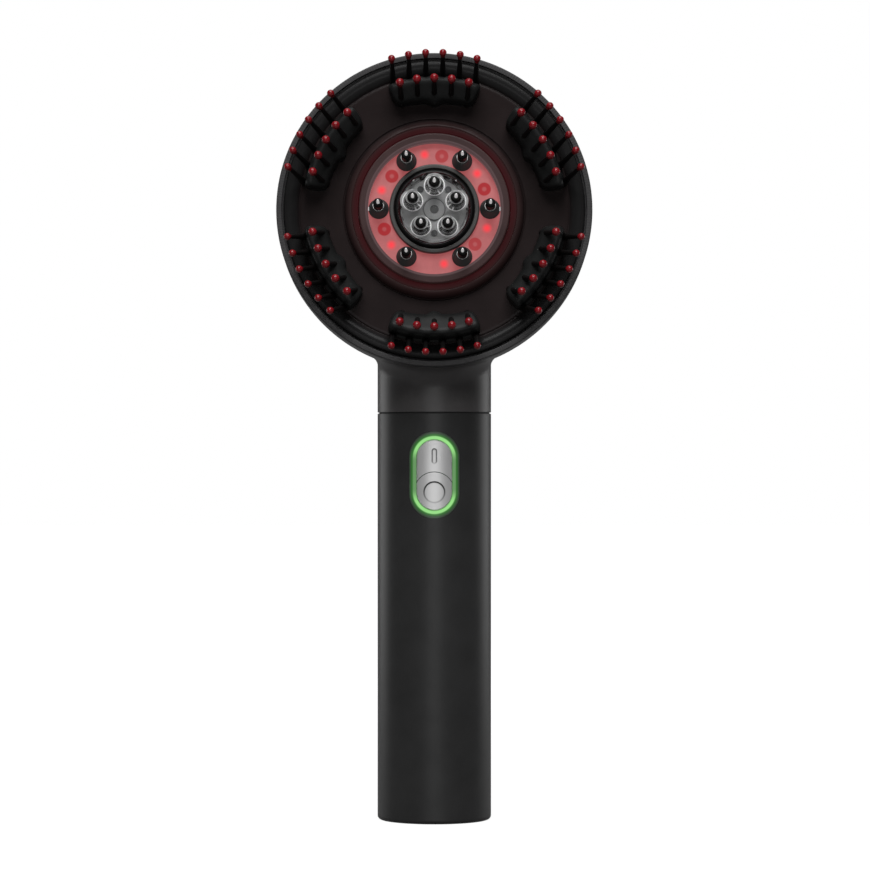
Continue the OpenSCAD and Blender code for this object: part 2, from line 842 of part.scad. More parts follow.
module ball(r) {
    difference() {
        translate([0, 0, $bristle_length]) sphere(r = r, $fn = 32);
        stem();
    }
}

// Block with a round inner edge that slopes up to its crest, round corners, a low foot behind and a
// small bump in front
module pad_block() {
    corner = [[27, 15.2], [pad_r_in - 0.4, 16.8], [pad_r_in + 0.2, 18.4], [31.8, 19.7], [33, 20.6],
        [34.5, 21], [36.8, 21], [37.8, 20.5], [38.4, 19.5], [41, 17]];
    intersection() {
        rotate([0, 0, -25]) rotate_extrude(angle = 50) polygon([
            [pad_r_in, dish_z], [pad_r_in - 0.1, 1.8], [pad_r_in + 0.05, 2.8], [pad_r_in + 0.4, 3.6],
            [31.9, 4.3], [33, 5.05], [34.5, 5.9], [35.8, pad_crest - 0.35], [36.8, pad_crest],
            [37.3, pad_crest - 0.2], [37.65, pad_crest - 0.8], [pad_r_out, pad_crest - 2],
            [pad_r_out, 0.1], [38.75, -0.1], [38.75, dish_z]]);
        translate([0, 0, -2]) linear_extrude(12) polygon(concat(
            [for (p = corner) polar(p[0], p[1])],
            [for (i = [len(corner) - 1 : -1 : 0]) polar(corner[i][0], -corner[i][1])]));
    }
    translate([pad_r_in + 1.1, 0, dish_z]) cylinder(r = 2.1, h = 3.2, $fn = small_fn);
}

module comb_pad(i) {
    color([0.12, 0.13, 0.13]) at_head() rotate([0, 0, pad_angles[i]]) {
        pad_block();
        for (a = inner_row) at_bristle(a, inner_root, inner_tip) stem();
        for (a = outer_row) at_bristle(a, outer_root, outer_tip) stem();
        around(peg_circle_r, peg_side_angles) rod(peg_r, -3.2, dish_z + 0.5);
    }
}

// Red balls on the ends of all bristles
module bristle_tips() {
    color([0.75, 0.08, 0.12]) at_head() for (p = pad_angles) rotate([0, 0, p]) {
        for (a = inner_row) at_bristle(a, inner_root, inner_tip) ball(inner_ball_r);
        for (a = outer_row) at_bristle(a, outer_root, outer_tip) ball(outer_ball_r);
    }
}

// ---- vibration motor ----

// Puts children on the motor's axis, with z along it
module at_motor() {
    at_head() translate([0, motor_y, motor_z]) rotate([0, 90, 0]) children();
}

module motor() {
    color([0.72, 0.73, 0.74]) at_motor() difference() {
        union() {
            rod(motor_r, -motor_len / 2, motor_len / 2);
            rod(2.2, motor_len / 2, motor_len / 2 + 1);
        }
        rod(shaft_r + 0.05, motor_len / 2 - 8, motor_len / 2 + 2);
    }
}

// Strap over the motor, with two feet on the head frame
module motor_clamp() {
    strap_w = 7;
    strap_t = 1.2;
    strap_in = motor_r + 0.05;
    color([0.3, 0.3, 0.3]) at_head() translate([-strap_w / 2, motor_y, motor_z]) rotate([0, 90, 0]) {
        difference() {
            union() {
                rod(strap_in + strap_t, 0, strap_w);
                translate([motor_z - frame_back, -strap_in - strap_t, 0])
                    cube([frame_back - motor_z, 2 * (strap_in + strap_t), strap_w]);
                translate([motor_z - frame_back, -strap_in - strap_t - 3, 0])
                    cube([1.5, 2 * (strap_in + strap_t) + 6, strap_w]);
            }
            rod(strap_in, -cut, strap_w + cut);
        }
    }
}

module motor_shaft() {
    color([0.8, 0.8, 0.8]) at_motor() rod(shaft_r, motor_len / 2 - 7, motor_len / 2 + 7);
}

// Half disc that makes the head vibrate, with its heavy side hanging straight down
module eccentric_weight() {
    color([0.6, 0.58, 0.5]) at_motor() rotate([0, 0, head_tilt])
            translate([0, 0, motor_len / 2 + 2]) difference() {
        union() {
            intersection() {
                cylinder(r = weight_r, h = weight_t);
                translate([-weight_r - cut, -weight_r - cut, -cut])
                    cube([2 * (weight_r + cut), weight_r + cut, weight_t + 2 * cut]);
            }
            cylinder(r = 1.6, h = weight_t);
        }
        translate([0, 0, -cut]) cylinder(r = shaft_r, h = weight_t + 2 * cut);
    }
}

// ---- filling plug ----

module fill_plug() {
    head_low = -head_depth + plug_recess_depth - plug_head_t;
    color([0.1, 0.1, 0.1]) at_head() {
        rotate_extrude() polygon([
            [0, head_low], [plug_head_r - 0.4, head_low], [plug_head_r, head_low + 0.4],
            [plug_head_r, head_low + plug_head_t - 0.05], [0, head_low + plug_head_t - 0.05]]);
        rod(plug_stem_r, head_low + 1, head_low + 12);
    }
}

// ---- the assembly ----

handle_tube();
end_cap();
neck_joiner();
chassis();
battery_cell();
battery_tabs();
control_board();
board_parts();
tact_switches();
charging_board();
charging_socket();
button_bezel();
light_ring();
on_button();
off_button();
lead_wires();
head_shell();
rim_ring();
face_cover();
glow_ring();
lens_ring();
diffuser_ring();
led_board();
red_leds();
infrared_leds();
head_frame();
frame_screws();
contact_ring();
inner_ring();
tank_seal();
tank_window();
tank_body();
chamber_plate();
chamber_screws();
for (i = [0 : 4])
    dispensing_pin(i);
valve_springs();
for (i = [0 : 5])
    electrode_pin(i);
electrode_springs();
pin_boots();
for (i = [0 : pad_count - 1])
    comb_pad(i);
bristle_tips();
motor();
motor_clamp();
motor_shaft();
eccentric_weight();
fill_plug();
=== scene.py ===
import math

import bmesh
import bpy
from mathutils import Matrix, Vector


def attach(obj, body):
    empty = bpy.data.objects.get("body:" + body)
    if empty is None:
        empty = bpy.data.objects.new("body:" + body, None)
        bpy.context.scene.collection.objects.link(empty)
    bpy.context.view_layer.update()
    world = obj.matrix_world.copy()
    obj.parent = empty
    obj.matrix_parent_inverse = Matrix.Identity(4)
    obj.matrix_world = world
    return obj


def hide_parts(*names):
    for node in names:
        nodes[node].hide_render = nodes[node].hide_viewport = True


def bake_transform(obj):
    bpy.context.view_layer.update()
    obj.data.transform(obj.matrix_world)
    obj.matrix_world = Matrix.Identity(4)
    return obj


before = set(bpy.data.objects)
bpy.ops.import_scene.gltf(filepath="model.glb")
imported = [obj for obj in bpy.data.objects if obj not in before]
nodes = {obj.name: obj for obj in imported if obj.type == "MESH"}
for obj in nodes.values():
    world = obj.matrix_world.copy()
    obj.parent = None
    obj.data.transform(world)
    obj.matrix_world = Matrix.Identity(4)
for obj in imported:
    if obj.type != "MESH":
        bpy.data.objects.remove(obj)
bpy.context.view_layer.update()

MM = 0.001

# Driving sizes in millimetres: handle, neck and head
HANDLE_R = 16.75
SEAM_Z = 119.7
SEAM_GAP = 0.35
NECK_FOOT = SEAM_Z + SEAM_GAP
NECK_FILLET = 6
HEAD_R = 45.8
HEAD_Z = 178.7
FACE_FORWARD = 21
TILT = math.radians(4.5)
SIDE_DEPTH = 9
DOME_DEPTH = 33
SHELL_WALL = 2
SHELL_FRONT = -3.2

# The domed back is a superellipse: its powers across and along the head's axis
ROUND_POWER = 2.6
DEEP_POWER = 2.2

# Spout in the middle of the back: its plug's seat, its bore and the boss round it
PLUG_R = 6.3
PLUG_SEAT = -40.6
SPOUT_R = 4.1
BOSS_R = 8
BOSS_FRONT = -38.5

# Posts that carry the head's frame
POST_ANGLES = (48, 132, 212, 328)
POST_CIRCLE_R = 31

# Radii of the round pieces of the face
RIM_IN_R = 42.6
RIM_SEAT_R = 43.7
HUB_R = 23.95
GLOW_OUT_R = 23.75
COLLAR_IN_R = 11.7

# Buttons: the pill round them, and their sunk ring and bar
BUTTON_Z = 101.7
PILL_HALF_LINE = 5.1
OFF_Z = BUTTON_Z - 5
OFF_MARK_R = 3.0
ON_Z = BUTTON_Z + 5.5
ON_MARK_R = 0.62
ON_MARK_HALF_LINE = 1.5

# Pins and lamps: the radius of each circle, how high the pins stand, the angles from the right, and
# how strongly the painted shade of each dark lamp lies on the diffuser
ELECTRODE_R = 16.1
ELECTRODE_TOP = 18.2
ELECTRODE_ANGLES = [60 * i for i in range(6)]
DISPENSER_R = 6.55
DISPENSER_TOP = 16.1
DISPENSER_ANGLES = [90 + 72 * i for i in range(5)]
RED_LAMP_R = 16.2
RED_LAMP_ANGLES = [40 + 60 * i for i in range(6)]
INFRARED_R = 15.45
INFRARED_ANGLES = (82, 22, 319, 202, 142)
INFRARED_SHADE = (0.8, 1.0, 0.8, 1.0, 0.95)

# Comb pads, with the circles of their two rows of bristles
PAD_ANGLES = [90 + 60 * i for i in range(6)]
PAD_FOOT = -1.0
PAD_STEPS = 16
PAD_END_ROUND = 1.5
PAD_HALF_LENGTH = 12.8
BUMP_ANGLE = 4.8
INNER_ROW_R = 35.8
OUTER_ROW_R = 43.1
BRISTLE_TOP = 14.6

# Head pieces are drawn in millimetres in the head's own frame: x right, y up, z out of the face
HEAD_PLACE = (0, -FACE_FORWARD * MM, HEAD_Z * MM)
HEAD_TURN = math.pi / 2 - TILT
HEAD = Matrix.Translation(HEAD_PLACE) @ Matrix.Rotation(HEAD_TURN, 4, "X") @ Matrix.Scale(MM, 4)
WORLD_TO_HEAD = HEAD.inverted() @ Matrix.Scale(MM, 4)
CENTRE = Matrix.Identity(4)


# ---------------------------------------------------------------- meshes

def cos_d(a):
    return math.cos(math.radians(a))


def sin_d(a):
    return math.sin(math.radians(a))


def polar(radius, angle):
    return radius * cos_d(angle), radius * sin_d(angle)


def arc(cx, cz, r, start, end, n):
    """Points of an arc in a profile, angles in degrees."""
    return [(cx + r * cos_d(start + (end - start) * i / n),
             cz + r * sin_d(start + (end - start) * i / n)) for i in range(n + 1)]


def around(angle, radius=0.0):
    """Matrix to a place on a circle about the head's middle, turned to face outwards."""
    return Matrix.Rotation(math.radians(angle), 4, "Z") @ Matrix.Translation((radius, 0, 0))


def at_place(x, y, z=0.0):
    return Matrix.Translation((x, y, z))


def lathe(bm, profile, segments=160, at=CENTRE, material=0):
    """Adds a closed profile of (radius, height), turned about Z. Points on the axis become one."""
    rings = []
    for r, z in profile:
        if r < 1e-6:
            rings.append([bm.verts.new(at @ Vector((0, 0, z)))])
        else:
            rings.append([bm.verts.new(at @ Vector((r * math.cos(2 * math.pi * k / segments),
                                                    r * math.sin(2 * math.pi * k / segments), z)))
                          for k in range(segments)])
    for a, b in zip(rings, rings[1:] + rings[:1]):
        if len(a) == 1 and len(b) == 1:
            continue
        for k in range(segments):
            m = (k + 1) % segments
            if len(a) == 1:
                ring = (a[0], b[m], b[k])
            elif len(b) == 1:
                ring = (a[k], a[m], b[0])
            else:
                ring = (a[k], a[m], b[m], b[k])
            bm.faces.new(ring).material_index = material


def sweep(bm, sections, material=0, closed=False):
    """Adds a solid through loops of equal numbers of points, with flat ends or as a closed ring."""
    loops = [[bm.verts.new(p) for p in section] for section in sections]
    n = len(loops[0])
    for a, b in zip(loops, loops[1:] + loops[:1] if closed else loops[1:]):
        for k in range(n):
            m = (k + 1) % n
            bm.faces.new((a[k], a[m], b[m], b[k])).material_index = material
    if not closed:
        bm.faces.new(list(reversed(loops[0]))).material_index = material
        bm.faces.new(loops[-1]).material_index = material


def tube(bm, points, radius, sides):
    """Adds a round wire along points, with flat ends."""
    sections = []
    side = None
    for i, p in enumerate(points):
        ahead = points[min(i + 1, len(points) - 1)] - points[max(i - 1, 0)]
        ahead.normalize()
        if side is None:
            side = ahead.orthogonal().normalized()
        side = (side - ahead * side.dot(ahead)).normalized()
        other = ahead.cross(side)
        sections.append([p + (side * math.cos(2 * math.pi * k / sides)
                              + other * math.sin(2 * math.pi * k / sides)) * radius
                         for k in range(sides)])
    sweep(bm, sections)


def eased_ring(bm, at, r_in, r_out, low, high, material=0, segments=72, edge=0.05):
    """Adds a round band with eased edges."""
    lathe(bm, [(r_in + edge, low), (r_out - edge, low), (r_out, low + edge), (r_out, high - edge),
               (r_out - edge, high), (r_in + edge, high), (r_in, high - edge), (r_in, low + edge)],
          segments, at, material)


def bar(bm, at, reach, width, height, material=0):
    """Adds a small bar along x from the place's origin."""
    w = width / 2
    section = [(-w, 0), (w, 0), (w, height), (-w, height)]
    sweep(bm, [[at @ Vector((x, y, z)) for y, z in section] for x in (0, reach)], material)


def link(thing):
    bpy.context.scene.collection.objects.link(thing)
    return thing


def taken(bm, name):
    """Turns a bmesh into a mesh and frees it."""
    mesh = bpy.data.meshes.new(name)
    bm.to_mesh(mesh)
    bm.free()
    return mesh


def finish_piece(name, bm, materials, body, replaced=(), sharp=40):
    """Makes the object from a bmesh drawn in the head's frame, ties it to its body, if it has
    one, and hides the nodes that it replaces."""
    bmesh.ops.recalc_face_normals(bm, faces=bm.faces[:])
    bm.transform(HEAD)
    mesh = taken(bm, name)
    mesh.shade_smooth()
    mesh.set_sharp_from_angle(angle=math.radians(sharp))
    for m in materials:
        mesh.materials.append(m)
    piece = link(bpy.data.objects.new(name, mesh))
    if body:
        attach(piece, body)
    if replaced:
        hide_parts(*replaced)
    return piece


# ---------------------------------------------------------------- materials

def calc(tree, operation, *values):
    """Adds a Math node on numbers or sockets, and gives its output."""
    node = tree.nodes.new("ShaderNodeMath")
    node.operation = operation
    for socket, value in zip(node.inputs, values):
        if isinstance(value, (int, float)):
            socket.default_value = value
        else:
            tree.links.new(value, socket)
    return node.outputs[0]


def fade(tree, value, start, end, low=0.0, high=1.0):
    """Maps a value from start to end onto low to high, with soft ends."""
    node = tree.nodes.new("ShaderNodeMapRange")
    node.interpolation_type = "SMOOTHSTEP"
    node.inputs["From Min"].default_value = start
    node.inputs["From Max"].default_value = end
    node.inputs["To Min"].default_value = low
    node.inputs["To Max"].default_value = high
    tree.links.new(value, node.inputs["Value"])
    return node.outputs["Result"]


def length(tree, a, b):
    return calc(tree, "SQRT", calc(tree, "ADD", calc(tree, "MULTIPLY", a, a),
                                   calc(tree, "MULTIPLY", b, b)))


def distance(tree, value, middle):
    return calc(tree, "ABSOLUTE", calc(tree, "SUBTRACT", value, middle))


def place_in(tree, head):
    """Place on the surface in millimetres, in the head's frame or the handle's."""
    place = tree.nodes.new("ShaderNodeTexCoord")
    turn = tree.nodes.new("ShaderNodeMapping")
    turn.vector_type = "TEXTURE"
    if head:
        turn.inputs["Location"].default_value = HEAD_PLACE
        turn.inputs["Rotation"].default_value = (HEAD_TURN, 0, 0)
    turn.inputs["Scale"].default_value = (MM, MM, MM)
    split = tree.nodes.new("ShaderNodeSeparateXYZ")
    tree.links.new(place.outputs["Object"], turn.inputs["Vector"])
    tree.links.new(turn.outputs["Vector"], split.inputs["Vector"])
    return split.outputs["X"], split.outputs["Y"], split.outputs["Z"]


def pill_distance(tree, x, z, middle, half_line):
    """Distance from the middle line of an upright pill."""
    above = calc(tree, "SUBTRACT", z, middle)
    on_line = calc(tree, "MINIMUM", calc(tree, "MAXIMUM", above, -half_line), half_line)
    return length(tree, x, calc(tree, "SUBTRACT", above, on_line))


def noise(tree, scale, detail):
    """Noise over the object, whose places are in metres."""
    place = tree.nodes.new("ShaderNodeTexCoord")
    node = tree.nodes.new("ShaderNodeTexNoise")
    node.inputs["Scale"].default_value = scale
    node.inputs["Detail"].default_value = detail
    tree.links.new(place.outputs["Object"], node.inputs["Vector"])
    return node.outputs["Fac"]


def shader_of(m):
    return m.node_tree.nodes["Principled BSDF"]


def patchy(m, target, color, vary, patches):
    """Drives one of the shader's colour sockets with darker and lighter patches."""
    tree = m.node_tree
    ramp = tree.nodes.new("ShaderNodeValToRGB")
    dark, light = ramp.color_ramp.elements
    dark.position = 0.3
    light.position = 0.7
    dark.color = (*[c * (1 - vary) for c in color], 1)
    light.color = (*[min(1, c * (1 + vary)) for c in color], 1)
    tree.links.new(patches, ramp.inputs["Fac"])
    tree.links.new(ramp.outputs["Color"], shader_of(m).inputs[target])


def tint(m, target, share, color):
    """Blends a fixed colour over what drives one of the shader's colour sockets, by a share."""
    tree = m.node_tree
    socket = shader_of(m).inputs[target]
    node = tree.nodes.new("ShaderNodeMix")
    node.data_type = "RGBA"
    under, over = [i for i in node.inputs if i.type == "RGBA"]
    over.default_value = (*color, 1)
    tree.links.new(share, node.inputs["Factor"])
    tree.links.new(socket.links[0].from_socket, under)
    tree.links.new([o for o in node.outputs if o.type == "RGBA"][0], socket)


def emboss(m, height, strength, depth):
    """Drives the shader's normal with a height."""
    tree = m.node_tree
    relief = tree.nodes.new("ShaderNodeBump")
    relief.inputs["Strength"].default_value = strength
    relief.inputs["Distance"].default_value = depth
    tree.links.new(height, relief.inputs["Height"])
    tree.links.new(relief.outputs["Normal"], shader_of(m).inputs["Normal"])


def plastic(name, color, rough, vary=0.12, grain=2500.0, bump=0.08, rough_vary=0.06, coat=0.0,
            metallic=0.0, specular=0.5, glow=None, blotch=120.0, transmission=0.0, ior=1.5,
            alpha=1.0):
    """Moulded surface with blotchy colour, uneven gloss and a fine grain."""
    m = bpy.data.materials.new(name)
    m.use_nodes = True
    tree = m.node_tree
    shader = shader_of(m)
    patches = noise(tree, blotch, 3)
    fine = noise(tree, grain, 4)
    patchy(m, "Base Color", color, vary, patches)
    gloss = tree.nodes.new("ShaderNodeMapRange")
    gloss.inputs["To Min"].default_value = max(0.02, rough - rough_vary)
    gloss.inputs["To Max"].default_value = rough + rough_vary
    tree.links.new(fine, gloss.inputs["Value"])
    tree.links.new(gloss.outputs["Result"], shader.inputs["Roughness"])
    emboss(m, fine, bump, 0.0001)
    settings = {"Metallic": metallic, "Specular IOR Level": specular, "IOR": ior,
                "Coat Weight": coat, "Coat Roughness": 0.08,
                "Transmission Weight": transmission, "Alpha": alpha}
    for socket, value in settings.items():
        shader.inputs[socket].default_value = value
    if glow:
        patchy(m, "Emission Color", glow, vary, patches)
        shader.inputs["Emission Strength"].default_value = 1
    return m


def clear_window():
    """Clear plastic that lets most light through to what lies under it."""
    m = plastic("window_clear", (0.93, 0.93, 0.93), 0.04, vary=0.02, grain=900, bump=0.02,
                rough_vary=0.01, transmission=1.0, ior=1.12)
    tree = m.node_tree
    mix = tree.nodes.new("ShaderNodeMixShader")
    path = tree.nodes.new("ShaderNodeLightPath")
    through = tree.nodes.new("ShaderNodeBsdfTransparent")
    through.inputs["Color"].default_value = (0.75, 0.75, 0.75, 1)
    tree.links.new(path.outputs["Is Shadow Ray"], mix.inputs["Fac"])
    tree.links.new(shader_of(m).outputs["BSDF"], mix.inputs[1])
    tree.links.new(through.outputs["BSDF"], mix.inputs[2])
    tree.links.new(mix.outputs["Shader"], tree.nodes["Material Output"].inputs["Surface"])
    return m


def dark_lamp_shade(tree, x, y, angle, strength):
    """How strongly the painted shade of a dark lamp lies on the diffuser: a ring with a paler
    middle.
    """
    middle = polar(INFRARED_R + 0.15, angle)
    away = length(tree, calc(tree, "SUBTRACT", x, middle[0]), calc(tree, "SUBTRACT", y, middle[1]))
    ring = calc(tree, "MULTIPLY", fade(tree, away, 2.12, 1.72), fade(tree, away, 0.3, 0.9, 0.45, 1))
    return calc(tree, "MULTIPLY", ring, strength)


def lit_diffuser():
    """Milky pink plastic with painted lamp glow, a painted hot spot over each red lamp and painted
    shade over each dark lamp.
    """
    # The pink glow is painted light of the lamps behind the diffuser
    m = plastic("diffuser_pink", (0.24, 0.11, 0.11), 0.35, vary=0.08, blotch=350, alpha=0.9,
                glow=(0.27, 0.055, 0.058), specular=0.2)
    tree = m.node_tree
    x, y, _ = place_in(tree, True)
    for angle, strength in zip(INFRARED_ANGLES, INFRARED_SHADE):
        # Painted shade of each dark lamp, on the diffuser's glow and on its colour
        under = dark_lamp_shade(tree, x, y, angle, strength)
        tint(m, "Emission Color", under, (0.34, 0.018, 0.022))
        tint(m, "Base Color", under, (0.06, 0.008, 0.01))
    # Painted hot spot of lamp light over each red lamp
    turn = calc(tree, "SUBTRACT", calc(tree, "ARCTAN2", y, x), math.radians(RED_LAMP_ANGLES[0]))
    swing = calc(tree, "WRAP", turn, math.radians(30), math.radians(-30))
    radius = length(tree, x, y)
    aside = calc(tree, "MULTIPLY", radius, calc(tree, "SINE", swing))
    outwards = calc(tree, "MULTIPLY", radius, calc(tree, "COSINE", swing))
    painted_lamp_spot = fade(tree, length(tree, aside, calc(tree, "SUBTRACT", outwards, RED_LAMP_R)), 1.9, 0.1)
    tint(m, "Emission Color", painted_lamp_spot, (0.95, 0.05, 0.065))
    tint(m, "Base Color", painted_lamp_spot, (0.1, 0.01, 0.012))
    return m


def silver_with_mark_shade():
    """Silver of the buttons. Painted shade darkens the edges of the sunk bar and ring, fading
    downwards.
    """
    m = plastic("button_silver", (0.5, 0.5, 0.5), 0.36, vary=0.03, metallic=0.6, grain=14000,
                bump=0.03)
    tree = m.node_tree
    x, _, z = place_in(tree, False)
    # Painted shade along the edges of the sunk ring and bar, darker towards their top
    ring = distance(tree, pill_distance(tree, x, z, OFF_Z, 0), OFF_MARK_R)
    ring = calc(tree, "MULTIPLY", fade(tree, ring, 0.34, 0.1),
                fade(tree, z, OFF_Z - 3.6, OFF_Z + 2.4, 0.3, 1))
    line = distance(tree, pill_distance(tree, x, z, ON_Z, ON_MARK_HALF_LINE), ON_MARK_R)
    line = calc(tree, "MULTIPLY", fade(tree, line, 0.3, 0.08),
                fade(tree, z, ON_Z - 2.3, ON_Z - 1.5, 0.2, 0.8))
    tint(m, "Base Color", calc(tree, "MAXIMUM", ring, line), (0.015, 0.015, 0.015))
    return m


def light_guide():
    """Green light guide, brightest round its two ends and darker along its edges."""
    m = plastic("light_green", (0.05, 0.1, 0.04), 0.4, glow=(0.27, 0.66, 0.21), vary=0.06,
                specular=0.3)
    tree = m.node_tree
    x, _, z = place_in(tree, False)
    tint(m, "Emission Color", fade(tree, distance(tree, z, BUTTON_Z), 8.0, 4.0), (0.1, 0.23, 0.09))
    off_middle = distance(tree, pill_distance(tree, x, z, BUTTON_Z, PILL_HALF_LINE), 5.75)
    tint(m, "Emission Color", fade(tree, off_middle, 0.3, 0.62, 0, 0.85), (0.02, 0.09, 0.015))
    return m


def lit_bezel():
    """Dark bezel that catches green light along its inner edge."""
    m = plastic("bezel_green", (0.012, 0.03, 0.012), 0.35, glow=(0.03, 0.04, 0.03), specular=0.3)
    tree = m.node_tree
    x, _, z = place_in(tree, False)
    near = fade(tree, pill_distance(tree, x, z, BUTTON_Z, PILL_HALF_LINE), 7.2, 6.4)
    tint(m, "Emission Color", near, (0.022, 0.14, 0.018))
    return m


def spilled_cover():
    """Smoked cover, blacker on its shoulder, that catches red light next to the hub."""
    m = plastic("smoked_gloss", (0.0165, 0.012, 0.012), 0.24, grain=6000, bump=0.03,
                specular=0.055, glow=(0, 0, 0))
    tree = m.node_tree
    x, y, _ = place_in(tree, True)
    radius = length(tree, x, y)
    tint(m, "Base Color", fade(tree, radius, 38.5, 40.5), (0.012, 0.0118, 0.012))
    tint(m, "Emission Color", fade(tree, radius, 26.6, HUB_R - 0.05), (0.013, 0.0055, 0.0055))
    return m


def soft_glow():
    """Dark red translucent ring with a painted red glow, which turns a little greyer towards the
    hub's slope.
    """
    m = plastic("glow_red", (0.012, 0.003, 0.0035), 0.42, glow=(0.0225, 0.0022, 0.003),
                specular=0.06)
    tree = m.node_tree
    x, y, _ = place_in(tree, True)
    tint(m, "Emission Color", fade(tree, length(tree, x, y), 22.8, 23.9), (0.0165, 0.006, 0.006))
    return m


def lens_with_painted_edge_light():
    """Smoked lens ring with a faint painted red glow, and a paler painted glow along its inner
    edge.
    """
    m = plastic("lens_smoke", (0.026, 0.0125, 0.0125), 0.42, glow=(0.013, 0.006, 0.006),
                specular=0.2)
    tree = m.node_tree
    x, y, _ = place_in(tree, True)
    # Painted light along the lens's inner edge
    tint(m, "Emission Color", fade(tree, length(tree, x, y), 20.15, 19.75), (0.075, 0.05, 0.052))
    return m


def blotched_tank():
    """Grey tank front, dark at its sides, with dark red blotches round the upper part of its edge.
    """
    m = plastic("tank_grey", (0.28, 0.28, 0.283), 0.45, vary=0.2, blotch=400, specular=0.2)
    tree = m.node_tree
    x, y, _ = place_in(tree, True)
    radius = length(tree, x, y)
    red_blotches = calc(tree, "MULTIPLY", fade(tree, noise(tree, 700, 2), 0.5, 0.57),
                 fade(tree, y, -6, 0))
    side = calc(tree, "MULTIPLY", fade(tree, distance(tree, y, 0), 5.5, 3.5),
                fade(tree, radius, 9.6, 9.95))
    outer = fade(tree, radius, 10.1, 10.3)
    dark = calc(tree, "MAXIMUM", calc(tree, "MAXIMUM", side, outer), red_blotches)
    tint(m, "Base Color", dark, (0.014, 0.0015, 0.002))
    return m


def brushed_rim():
    """Satin rim with fine radial lines."""
    m = plastic("rim_charcoal", (0.034, 0.033, 0.034), 0.48, grain=9000, bump=0.05, specular=0.22)
    tree = m.node_tree
    x, y, _ = place_in(tree, True)
    lines_per_radian = 360
    turn = calc(tree, "ARCTAN2", y, x)
    emboss(m, calc(tree, "SINE", calc(tree, "MULTIPLY", turn, lines_per_radian)), 0.25, 0.00005)
    return m


